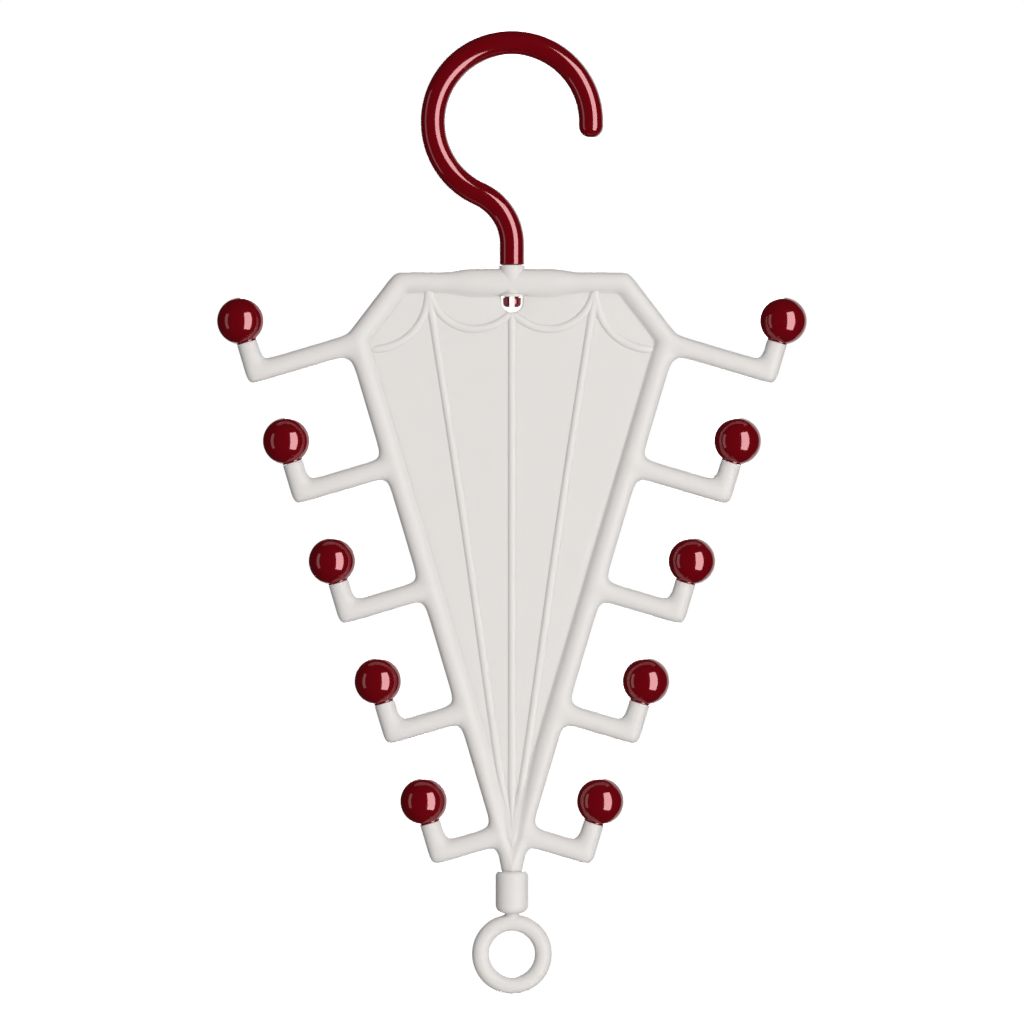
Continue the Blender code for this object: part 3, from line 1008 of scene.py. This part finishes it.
    def neck_sections(self) -> Rings:
        """The last sections of the right rail, which turn upright and end inside the barrel.

        Returns:
            The sections in order.
        """
        sections = []
        for row in self.neck:
            height, offset, half_width, half_depth = (value * MM for value in row)
            point = Vector((offset, self.layout.barrel_top_z + height))
            sections.append(self.straight(point, DOWN, half_width, half_depth, 0))
        return sections

    def build(self) -> Piece:
        """Model the right half, mirror it and round it.

        Returns:
            The rails and arms as one closed piece.
        """
        rows = [self.root_rows(index) for index in range(self.layout.arm_count)]
        sections = self.rail_sections(rows) + self.neck_sections()
        obj = ring_start("frame_rails", sections[0])
        extrude_along(obj, sections)
        bpy.ops.mesh.edge_face_add()
        for index, three in enumerate(rows):
            self.grow_arm(obj, three, self.arm_rings(index))
        edit_all(obj)
        bpy.ops.mesh.bisect(plane_co=(0, 0, 0), plane_no=(1, 0, 0), clear_inner=True)
        close_and_orient(obj)
        mirror = obj.modifiers.new("other_side", "MIRROR")
        mirror.merge_threshold = MERGE_DISTANCE
        apply_modifiers(obj)
        subdivide_smooth(obj, self.levels)
        bpy.ops.object.shade_smooth()
        return obj

    @staticmethod
    def grow_arm(obj: Piece, rows: Rings, rings: Rings) -> None:
        """Extrude an arm out of its root.

        Args:
            obj: The rails in edit mode.
            rows: The three sections across the root, from above to below.
            rings: The arm's rings.
        """
        upper, middle, lower = rows
        root = [upper[0], upper[1], upper[-1], middle[1], middle[-1]]
        root += [lower[0], lower[1], lower[-1], middle[0]]
        select_points(obj, root, faces=True)
        extrude_along(obj, [root] + rings)


@dataclass
class Web:
    """The flat web inside the rails with its ribs, its scallops and the window below the boss."""

    layout: Layout
    tail_share: float = 0.955
    rib_half_width: float = 1.7 * MM
    rib_half_depth: float = 1.95 * MM
    scallop_half_depth: float = 1.9 * MM
    window_half_width: float = 3.75 * MM
    window_depth: float = 5.8 * MM
    window_corner: float = 3.3 * MM
    window_edge: float = 0.5 * MM
    window_steps: int = 16
    edge_steps: int = 4
    # How high a rib stays above the web at the tip, and how far its faded end sinks into it
    rib_rise: float = 0.35 * MM
    rib_sink: float = 0.1 * MM
    rib_sides: int = 32
    sharp_degrees: float = 28
    centre_rib_share: float = 0.975
    centre_rib_steps: int = 40
    centre_rib_fade: int = 4
    # Places along the side rib: shares of the top corner's half width and of the frame's height
    side_rib: Table = ((0.764, 0.0), (0.533, 0.2826), (0.380, 0.480), (0.126, 0.824), (0.020, 0.935))
    side_rib_steps: int = 10
    side_rib_fade: int = 9
    scallop_steps: int = 40
    # Scallops, and places where ribs and scallops run together: over how many points the end fades, and the
    # ends and handles as shares of the top corner's and the shoulder's half widths and of the drop
    scallops: tuple[tuple[int, Table], ...] = (
        (6, ((0.750, 0.0, 0.15), (0.752, 0.0, 0.81), (0.0, 0.715, 1.227), (0.0, 0.954, 1.182))),
        (0, ((0.740, 0.0, 0.18), (0.645, 0.0, 0.87), (0.262, 0.0, 1.03), (0.010, 0.0, 0.55))),
        (12, ((0.752, 0.0, 0.10), (0.752, 0.0, 0.3), (0.742, 0.0, 0.45), (0.735, 0.0, 0.66))),
        (12, ((0.0, 0.0, 0.45), (0.0, 0.0, 0.5), (0.0, 0.0, 0.6), (0.0, 0.0, 0.72))),
    )

    def scallop(self, handles: Table) -> Points:
        """Points along a scallop.

        Args:
            handles: The shares of its first end, two handles and last end.

        Returns:
            The points (x, z).
        """
        layout = self.layout
        places = []
        for top_corner, shoulder, drop in handles:
            across = top_corner * layout.top_corner_half_width + shoulder * layout.shoulder_half_width
            places.append(Vector((across, layout.top_rail_z - drop * layout.shoulder_drop)))
        a, b, c, d = places
        points = []
        for step in range(self.scallop_steps + 1):
            t = step / self.scallop_steps
            s = 1 - t
            points.append(a * s**3 + b * (3 * s * s * t) + c * (3 * s * t * t) + d * t**3)
        return points

    def side_rib_path(self) -> Points:
        """Points along the right side rib.

        Returns:
            The points (x, z), on a smooth line through its places.
        """
        layout = self.layout
        places = []
        for across, down in self.side_rib:
            z = layout.top_rail_z - down * layout.frame_height
            places.append(Vector((across * layout.top_corner_half_width, z)))
        return smooth_through(places, self.side_rib_steps)

    def centre_rib_path(self) -> Points:
        """Points (x, z) straight down the middle."""
        steps, length = self.centre_rib_steps, self.centre_rib_share * self.layout.frame_height
        return [Vector((0, self.layout.top_rail_z - length * step / steps)) for step in range(steps + 1)]

    def rib(self, points: Points, half_depth: float, fade: int) -> Piece:
        """Extrude a half-round rib that shows on both faces of the web.

        Args:
            points: Its path (x, z).
            half_depth: Half its depth through the web.
            fade: Over how many of the last points it sinks into the web.

        Returns:
            The closed rib.
        """
        layout, last = self.layout, len(points) - 1
        rings = []
        for index, point in enumerate(points):
            along = (points[min(index + 1, last)] - points[max(index - 1, 0)]).normalized()
            full = min(1, (last - index) / fade) if fade else 1
            full = full * full * (3 - 2 * full)
            side = left_of(along) * self.rib_half_width * (0.5 + 0.5 * full)
            floor = between(layout.tip_floor, (point.y - layout.tip.y) / math.cos(layout.lean))
            depth = floor - self.rib_sink
            depth += (max(half_depth, floor + self.rib_rise) - depth) * full
            rings.append(oval(point, side, -depth, self.rib_sides))
        return loft("rib", rings)

    def window(self) -> Piece:
        """The cutter of the window, square at the top and round at the bottom.

        Returns:
            The closed cutter, which widens round both edges.
        """
        top = self.layout.boss_bottom_z
        corner, edge, face = self.window_corner, self.window_edge, self.layout.panel_half_thickness
        centre = Vector((self.window_half_width - corner, top - self.window_depth + corner))
        rounding = arc(Vector((edge, face - edge)), edge, HALF_TURN, QUARTER_TURN, self.edge_steps)
        levels = [(far, wider) for wider, far in rounding] + [(CUTTER_HALF_DEPTH, edge)]
        rings = []
        for depth, wider in [(-far, wider) for far, wider in reversed(levels)] + levels:
            right = [Vector((self.window_half_width + wider, top + CUT_BEYOND))]
            right += arc(centre, corner + wider, 0, -QUARTER_TURN, self.window_steps)
            rings.append([in_space(point, depth) for point in both_sides(right)])
        return loft("window", rings)

    def build(self, bore: Piece) -> Piece:
        """Model the plate, join the ribs and cut the window.

        Args:
            bore: The cutter of the boss's bore, which the web passes through.

        Returns:
            The web as one closed piece.
        """
        layout = self.layout
        tail = layout.shoulder + (layout.tip - layout.shoulder) * self.tail_share
        outline = both_sides([layout.top_corner, layout.shoulder, tail])
        obj = slab("frame_web", outline, layout.panel_half_thickness)
        centre_rib = self.rib(self.centre_rib_path(), self.rib_half_depth, self.centre_rib_fade)
        boolean(obj, centre_rib, Operation.JOIN)
        paths = [(self.side_rib_path(), self.rib_half_depth, self.side_rib_fade)]
        paths += [(self.scallop(handles), self.scallop_half_depth, fade) for fade, handles in self.scallops]
        for path, depth, fade in paths:
            for way in Side:
                points = [Vector((way.value * point.x, point.y)) for point in path]
                boolean(obj, self.rib(points, depth, fade), Operation.JOIN)
        boolean(obj, self.window(), Operation.CUT)
        boolean(obj, bore, Operation.CUT)
        close_and_orient(obj)
        shade(obj, self.sharp_degrees)
        return obj


@dataclass
class Frame:
    """The white frame moulding: rails with arms, boss and barrel in one, and the web inside them."""

    layout: Layout
    boss_radius: float = 4.42 * MM
    boss_rounding: float = 0.4 * MM
    boss_edge_steps: int = 6
    # Sections of the boss: depth below its top and radius, slimmer inside the rail and with a lip below
    boss_profile: Table = (
        (0.4, 4.42), (2.2, 4.39), (3.6, 4.345), (4.6, 4.31), (5.2, 4.265), (5.6, 4.185),
        (6.6, 4.0), (7.6, 3.8), (8.9, 3.54), (9.75, 3.5), (10.0, 4.0), (10.25, 4.3)
    )
    boss_profile_steps: int = 4
    bore_radius: float = 2.75 * MM
    barrel_radius: float = 5.7 * MM
    barrel_top_rounding: float = 1.8 * MM
    barrel_top_steps: int = 14
    barrel_bottom_rounding: float = 3.0 * MM
    barrel_bottom_steps: int = 18
    socket_radius: float = 4.2 * MM
    stem_room_radius: float = 2.8 * MM
    # How far the mouth of the stem's room is eased, and how little its edge rises
    mouth_ease: float = 0.25 * MM
    mouth_rise: float = 0.02 * MM
    socket_height: float = 7.8 * MM
    sides: int = 96
    sharp_degrees: float = 32

    def boss(self) -> Piece:
        """The upright boss that the hook turns in, solid before its bore is cut.

        Returns:
            The closed boss.
        """
        top, bottom = self.layout.boss_top_z, self.layout.lip_z
        rounding, steps = self.boss_rounding, self.boss_edge_steps
        inner = self.boss_radius - rounding
        side = [Vector((radius * MM, top - depth * MM)) for depth, radius in self.boss_profile]
        profile = marks((0, top))
        profile += arc(Vector((inner, top - rounding)), rounding, QUARTER_TURN, 0, steps)
        profile += smooth_through(side, self.boss_profile_steps)
        profile += arc(Vector((inner, bottom + rounding)), rounding, 0, -QUARTER_TURN, steps)
        return lathe("boss", profile + marks((0, bottom)), self.sides)

    def bore(self) -> Piece:
        """The cutter of the boss's bore.

        Returns:
            The closed cutter.
        """
        top, bottom = self.layout.boss_top_z + CUT_BEYOND, self.layout.boss_bottom_z - CUT_BEYOND
        radius = self.bore_radius
        return lathe("bore", marks((0, top), (radius, top), (radius, bottom), (0, bottom)), self.sides)

    def barrel(self) -> Piece:
        """The barrel with the stepped socket that holds the ring's snap end.

        Returns:
            The closed barrel.
        """
        top, bottom = self.layout.barrel_top_z, self.layout.barrel_bottom_z
        upper, lower = self.barrel_top_rounding, self.barrel_bottom_rounding
        radius, socket = self.barrel_radius, self.socket_radius
        room, ease = self.stem_room_radius, self.mouth_ease
        floor = bottom + self.layout.barrel_lip
        roof = floor + self.socket_height
        profile = marks((0, top))
        profile += arc(Vector((radius - upper, top - upper)), upper, QUARTER_TURN, 0, self.barrel_top_steps)
        steps = self.barrel_bottom_steps
        profile += arc(Vector((radius - lower, bottom + lower)), lower, 0, -QUARTER_TURN, steps)[:-1]
        profile += marks((room + ease, bottom + self.mouth_rise), (room, bottom + ease), (room, floor))
        profile += marks((socket, floor), (socket, roof), (0, roof))
        return lathe("barrel", profile, self.sides)

    def build(self, wardrobe: Wardrobe) -> None:
        """Model and dress the moulding and its web.

        Args:
            wardrobe: What dresses the pieces.
        """
        rails = Rails(self.layout).build()
        boolean(rails, self.barrel(), Operation.JOIN)
        boolean(rails, self.boss(), Operation.JOIN)
        boolean(rails, self.bore(), Operation.CUT)
        close_and_orient(rails)
        shade(rails, self.sharp_degrees)
        wardrobe.dress(rails, Slot.WHITE, Body.FRAME, ["frame"])
        wardrobe.dress(Web(self.layout).build(self.bore()), Slot.WHITE, Body.FRAME, ["frame"])


@dataclass
class SnapEnd:
    """A split snap end on a straight shaft, turned about the upright axis and slotted."""

    edge: float
    slot_half_width: float = 0.9 * MM
    slot_steps: int = 12
    edge_segments: int = 3
    eased_degrees: float = 40
    sides: int = 64

    def build(self, name: str, profile: Points, slot_root: float, slot_mouth: float) -> Piece:
        """Turn the shaft with its head, cut the slot and ease the edges.

        Args:
            name: The name of the piece.
            profile: Points (radius, z) from end to end.
            slot_root: Where the slot ends inside the shaft.
            slot_mouth: Beyond the head's free end.

        Returns:
            The closed shaft.
        """
        obj = lathe(name, profile, self.sides)
        half = self.slot_half_width if slot_root > slot_mouth else -self.slot_half_width
        outline = arc(Vector((0, slot_root - half)), half, 0, HALF_TURN, self.slot_steps)
        outline += marks((-half, slot_mouth), (half, slot_mouth))
        boolean(obj, slab("slot", outline, CUTTER_HALF_DEPTH), Operation.CUT)
        close_and_orient(obj)
        bevel = obj.modifiers.new("eased_edges", "BEVEL")
        bevel.width = self.edge
        bevel.segments = self.edge_segments
        bevel.angle_limit = math.radians(self.eased_degrees)
        apply_modifiers(obj)
        return obj


@dataclass
class Hook:
    """The red hook: a bent rod with a half-ball end, a flat shoulder and a split snap end below it."""

    layout: Layout
    rod_radius: float = 4.275 * MM
    inner_radius: float = 23.4 * MM
    mouth_drop: float = 1.4 * MM
    s_bend_radius: float = 19.3 * MM
    seat_gap: float = 0.12 * MM
    shoulder_rounding: float = 0.35 * MM
    spigot_radius: float = 2.45 * MM
    # How far the spigot starts inside the rod
    root: float = 1 * MM
    catch: float = 0.7 * MM
    head_length: float = 3.4 * MM
    head_rounding: float = 1.7 * MM
    head_edge: float = 0.22 * MM
    head_steps: int = 12
    slot_share: float = 0.6
    slot_beyond: float = 1 * MM
    sides: int = 64
    cap_steps: int = 14
    crown_steps: int = 150
    s_bend_steps: int = 48
    shoulder_steps: int = 6
    sharp_degrees: float = 40

    @property
    def shoulder_z(self) -> float:
        """Height of the rod's flat shoulder over the boss."""
        return self.layout.boss_top_z + self.seat_gap

    def ring(self, x: float, z: float, radius: float) -> Points:
        """A level ring of points about a centre."""
        return oval(Vector((x, z)), Vector((radius, 0)), radius, self.sides)

    def rod(self) -> Piece:
        """Model the rod from its mouth over the crown to its shoulder.

        Returns:
            The closed rod.
        """
        rod, rounding = self.rod_radius, self.shoulder_rounding
        bend = self.inner_radius + rod
        crown_z = -self.inner_radius
        rise = math.sqrt((bend + self.s_bend_radius) ** 2 - self.s_bend_radius**2)
        turn = math.atan2(rise, self.s_bend_radius)
        rings = []
        for step in range(1, self.cap_steps + 1):
            angle = QUARTER_TURN * step / self.cap_steps
            z = crown_z - self.mouth_drop - math.cos(angle) * rod
            rings.append(self.ring(bend, z, rod * math.sin(angle)))
        rings.append(self.ring(bend, crown_z, rod))
        obj = ring_start("hook_rod", rings[0])
        bpy.ops.mesh.edge_face_add()
        bpy.ops.mesh.poke()
        select_points(obj, rings[0], faces=False)
        extrude_along(obj, rings)
        shank_z = crown_z - rise
        crown, low = (0, 0, crown_z), (-self.s_bend_radius, 0, shank_z)
        bpy.ops.mesh.spin(steps=self.crown_steps, angle=HALF_TURN + turn, center=crown, axis=(0, 1, 0))
        bpy.ops.mesh.spin(steps=self.s_bend_steps, angle=turn, center=low, axis=(0, -1, 0))
        rings = [self.ring(0, shank_z, rod)]
        for step in range(self.shoulder_steps + 1):
            angle = QUARTER_TURN * step / self.shoulder_steps
            z = self.shoulder_z + rounding * (1 - math.sin(angle))
            rings.append(self.ring(0, z, rod - rounding * (1 - math.cos(angle))))
        extrude_along(obj, rings)
        bpy.ops.mesh.edge_face_add()
        close_and_orient(obj)
        return obj

    def spigot(self) -> Piece:
        """The spigot with its split head, which shows in the window.

        Returns:
            The closed spigot.
        """
        top, radius = self.shoulder_z + self.root, self.spigot_radius
        head_top = self.layout.lip_z - self.layout.clearance
        head_bottom = head_top - self.head_length
        head, rounding = radius + self.catch, self.head_rounding
        profile = marks((0, top), (radius, top), (radius, head_top), (head, head_top))
        centre = Vector((head - rounding, head_bottom + rounding))
        profile += arc(centre, rounding, 0, -QUARTER_TURN, self.head_steps) + marks((0, head_bottom))
        slot_root = head_top + self.slot_share * self.layout.boss_height
        return SnapEnd(self.head_edge).build("spigot", profile, slot_root, head_bottom - self.slot_beyond)

    def build(self, wardrobe: Wardrobe) -> None:
        """Model and dress the hook.

        Args:
            wardrobe: What dresses the piece.
        """
        obj = self.rod()
        boolean(obj, self.spigot(), Operation.JOIN)
        close_and_orient(obj)
        shade(obj, self.sharp_degrees)
        wardrobe.dress(obj, Slot.RED, Body.HOOK, ["hook"])


@dataclass
class Ring:
    """The white ring: a round eye, a stem that flares into it and a split snap end in the barrel."""

    layout: Layout
    hole_radius: float = 8.05 * MM
    rod_radius: float = 2.95 * MM
    eye_segments: int = 128
    rod_segments: int = 48
    stem_radius: float = 2.5 * MM
    # How far the stem reaches into the eye
    root: float = 1 * MM
    catch: float = 1.1 * MM
    head_length: float = 6.6 * MM
    head_edge: float = 0.2 * MM
    slot_share: float = 0.6
    slot_beyond: float = 1 * MM
    sharp_degrees: float = 35
    # Rings of the flare from the stem down into the eye: height above the eye's top, half width and half
    # depth. Rounding makes them smaller, and the share makes up for it
    flare: Table = (
        (2.2, 2.5, 2.5), (0.4, 2.5, 2.5), (-0.1, 2.52, 2.5), (-0.5, 2.75, 2.55),
        (-1.2, 3.6, 2.7), (-2.4, 5.2, 2.6), (-3.6, 5.5, 2.2)
    )
    flare_share: float = 1.02
    flare_sides: int = 16
    flare_levels: int = 2

    def eye(self, centre_z: float) -> Piece:
        """The round eye.

        Args:
            centre_z: The height of its centre.

        Returns:
            The closed eye.
        """
        deselect_all()
        bpy.ops.mesh.primitive_torus_add(
            location=(0, 0, centre_z),
            rotation=(QUARTER_TURN, 0, 0),
            major_radius=self.hole_radius + self.rod_radius,
            minor_radius=self.rod_radius,
            major_segments=self.eye_segments,
            minor_segments=self.rod_segments,
        )
        obj = name_new("ring_eye")
        apply_place(obj)
        return obj

    def flared_root(self, top: float) -> Piece:
        """The flare between the stem and the eye.

        Args:
            top: The height of the eye's top.

        Returns:
            The closed, rounded flare.
        """
        size = MM * self.flare_share
        rings = []
        for height, width, depth in self.flare:
            centre, side = Vector((0, top + height * MM)), Vector((width * size, 0))
            rings.append(oval(centre, side, depth * size, self.flare_sides))
        obj = loft("flare", rings)
        subdivide_smooth(obj, self.flare_levels)
        return obj

    def stem(self, top: float) -> Piece:
        """The stem with its split head inside the barrel.

        Args:
            top: The height of the eye's top.

        Returns:
            The closed stem.
        """
        lip = self.layout.barrel_lip
        floor = self.layout.barrel_bottom_z + lip + self.layout.clearance
        head_top, bottom = floor + self.head_length, top - self.root
        radius, head = self.stem_radius, self.stem_radius + self.catch
        profile = marks((0, head_top), (radius, head_top), (head, floor + self.catch), (head, floor))
        profile += marks((radius, floor), (radius, bottom), (0, bottom))
        slot_root = floor - self.slot_share * lip
        return SnapEnd(self.head_edge).build("stem", profile, slot_root, head_top + self.slot_beyond)

    def build(self, wardrobe: Wardrobe) -> None:
        """Model and dress the ring.

        Args:
            wardrobe: What dresses the piece.
        """
        top = self.layout.barrel_bottom_z - self.layout.clearance
        obj = self.eye(top - 2 * self.rod_radius - self.hole_radius)
        boolean(obj, self.flared_root(top), Operation.JOIN)
        boolean(obj, self.stem(top), Operation.JOIN)
        close_and_orient(obj)
        shade(obj, self.sharp_degrees)
        wardrobe.dress(obj, Slot.WHITE, Body.RING, ["ring"])


@dataclass
class Knobs:
    """The ten red knobs: balls with a flat foot and a blind hole for the arm's pin."""

    layout: Layout
    hole_radius: float = 1.9 * MM
    hole_depth: float = 7.0 * MM
    foot_rounding: float = 0.2 * MM
    foot_steps: int = 4
    sides: int = 64
    arc_steps: int = 30
    sharp_degrees: float = 35

    def pattern(self) -> Piece:
        """Turn one knob about the upright axis, with the ball's centre at the origin.

        Returns:
            The closed knob.
        """
        radius, foot, hole = self.layout.knob_radius, self.layout.rod_radius, self.hole_radius
        foot_z = -self.layout.knob_foot_drop
        rounding = self.foot_rounding
        profile = arc(Vector((0, 0)), radius, QUARTER_TURN, -math.acos(foot / radius), self.arc_steps)
        profile[0] = Vector((0, radius))
        centre = Vector((foot - rounding, foot_z + rounding))
        profile += arc(centre, rounding, 0, -QUARTER_TURN, self.foot_steps)
        roof = foot_z + self.hole_depth
        obj = lathe("knob", profile + marks((hole, foot_z), (hole, roof), (0, roof)), self.sides)
        shade(obj, self.sharp_degrees)
        return obj

    def build(self, wardrobe: Wardrobe) -> None:
        """Model one knob, copy it to every arm and dress the copies.

        Args:
            wardrobe: What dresses the pieces.
        """
        pattern = self.pattern()
        for side in Side:
            for index in range(self.layout.arm_count):
                centre = self.layout.knob_centre(index)
                place = Matrix.Translation((side.value * centre.x, 0, centre.y))
                turn = Matrix.Rotation(side.value * self.layout.lean, 4, "Y")
                knob = pattern.copy()
                knob.data = pattern.data.copy()
                bpy.context.collection.objects.link(knob)
                knob.matrix_world = place @ turn
                apply_place(knob)
                node = "knob_" + side.name.lower() + "_" + str(index + 1)
                knob.name = node + "_ball"
                knob.data.name = knob.name
                wardrobe.dress(knob, Slot.RED, Body.FRAME, [node])
        bpy.data.objects.remove(pattern, do_unlink=True)


class Reach(Enum):
    """What a light does: it fills softly, it shows in the gloss, or both."""

    FILL = "fill"
    GLOSS = "gloss"
    BOTH = "both"


@dataclass(frozen=True)
class SoftLight:
    """A rectangular soft light, placed by its direction as seen from the hanger.

    Azimuth counts in degrees to the right of the camera, and elevation in degrees up.
    """

    name: str
    azimuth: float
    elevation: float
    distance: float
    width: float
    height: float
    radiance: float
    reach: Reach


@dataclass
class Studio:
    """The photographer's set: white surroundings, soft lights and a long lens square to the front."""

    picture_size: int = 1024
    metres_per_pixel: float = 0.35 * MM
    origin_pixel: tuple[float, float] = (511.95, 55.0)
    camera_distance: float = 1.8
    sensor: float = 36.0
    floor_z: float = -1.9
    floor_size: float = 80.0
    floor_level: float = 0.3
    floor_roughness: float = 0.9
    floor_glow: float = 1.0
    fill_world: float = 0.15
    gloss_world: float = 0.02
    # The height that all lights face
    aim_z: float = -0.16
    lights: tuple[SoftLight, ...] = (
        SoftLight("softbox_gloss", 39.5, 0, 1.5, 1.06, 2.6, 8.2, Reach.GLOSS),
        SoftLight("key_fill", 32, 0, 1.6, 1.2, 3.0, 2.62, Reach.FILL),
        SoftLight("left_fill", -50, 0, 1.6, 1.2, 3.0, 0.63, Reach.FILL),
        SoftLight("top_fill", 0, 65, 1.6, 2.2, 1.4, 0.5, Reach.FILL),
        SoftLight("bottom_fill", 0, -65, 1.6, 2.2, 1.4, 0.55, Reach.FILL),
        SoftLight("strip_gloss", -73, 0, 1.5, 0.40, 1.6, 1.2, Reach.GLOSS),
        SoftLight("white_backdrop", 162, 0, 2.4, 3.4, 4.4, 1.0, Reach.BOTH),
        SoftLight("back_fill", 180, 0, 1.6, 1.2, 3.0, 1.5, Reach.FILL),
        SoftLight("back_gloss", 180, 0, 1.5, 0.36, 2.2, 6.0, Reach.GLOSS),
    )

    def camera(self) -> None:
        """Set up the camera square to the front at the photograph's scale."""
        half = self.picture_size / 2
        centre_x = (half - self.origin_pixel[0]) * self.metres_per_pixel
        centre_z = (self.origin_pixel[1] - half) * self.metres_per_pixel
        place = (centre_x, -self.camera_distance, centre_z)
        deselect_all()
        bpy.ops.object.camera_add(location=place, rotation=(QUARTER_TURN, 0, 0))
        camera = name_new("camera")
        camera.data.sensor_width = self.sensor
        camera.data.lens = self.sensor * self.camera_distance / (self.picture_size * self.metres_per_pixel)
        bpy.context.scene.camera = camera

    def soft_light(self, light: SoftLight) -> None:
        """Hang a soft light that faces the hanger.

        Args:
            light: Its place, size and brightness.
        """
        turn, rise = math.radians(light.azimuth), math.radians(light.elevation)
        level = math.cos(rise)
        direction = Vector((math.sin(turn) * level, -math.cos(turn) * level, math.sin(rise)))
        deselect_all()
        place = Vector((0, 0, self.aim_z)) + direction * light.distance
        bpy.ops.object.light_add(type="AREA", location=place)
        lamp = name_new(light.name)
        lamp.rotation_euler = (-direction).to_track_quat("-Z", "Y").to_euler()
        lamp.data.shape = "RECTANGLE"
        lamp.data.size, lamp.data.size_y = light.width, light.height
        lamp.data.energy = light.radiance * math.pi * light.width * light.height
        lamp.visible_camera = False
        lamp.visible_diffuse = light.reach is not Reach.GLOSS
        lamp.visible_glossy = light.reach is not Reach.FILL

    def surroundings(self) -> None:
        """Make the world: white to the camera, a soft fill for shading and nearly dark in the gloss."""
        world = bpy.data.worlds.new("studio")
        world.use_nodes = True
        tree = world.node_tree
        path = tree.nodes.new("ShaderNodeLightPath")
        connect(tree, tree.nodes["Background"], {"Color": grey(self.gloss_world)})
        shown = tree.nodes["Background"].outputs[0]
        for ray, level in (("Is Diffuse Ray", self.fill_world), ("Is Camera Ray", 1.0)):
            seen = add_node(tree, "ShaderNodeBackground", {"Color": grey(level)}).outputs[0]
            mix = add_node(tree, "ShaderNodeMixShader", {"Fac": path.outputs[ray], 1: shown, 2: seen})
            shown = mix.outputs[0]
        connect(tree, tree.nodes["World Output"], {"Surface": shown})
        bpy.context.scene.world = world
        bpy.context.scene.view_settings.view_transform = "Standard"

    def floor(self) -> None:
        """Lay a plain white floor that reaches the horizon, lights nothing and isn't seen in the gloss."""
        deselect_all()
        bpy.ops.mesh.primitive_plane_add(size=self.floor_size, location=(0, 0, self.floor_z))
        floor = name_new("floor")
        material = bpy.data.materials.new("pale_floor")
        material.use_nodes = True
        surface = {
            "Base Color": grey(self.floor_level),
            "Roughness": self.floor_roughness,
            "Emission Color": grey(1.0),
            "Emission Strength": self.floor_glow,
        }
        connect(material.node_tree, material.node_tree.nodes["Principled BSDF"], surface)
        material.cycles.emission_sampling = "NONE"
        floor.data.materials.append(material)
        floor.visible_diffuse = False
        floor.visible_glossy = False

    def build(self) -> None:
        """Set everything up."""
        self.camera()
        self.surroundings()
        self.floor()
        for light in self.lights:
            self.soft_light(light)


def main() -> None:
    """Build every piece and the studio."""
    logging.basicConfig(level=logging.INFO, format="%(name)s: %(message)s")
    layout = Layout()
    wardrobe = Wardrobe()
    Frame(layout).build(wardrobe)
    Hook(layout).build(wardrobe)
    Ring(layout).build(wardrobe)
    Knobs(layout).build(wardrobe)
    Studio().build()


if __name__ == "__main__":
    main()
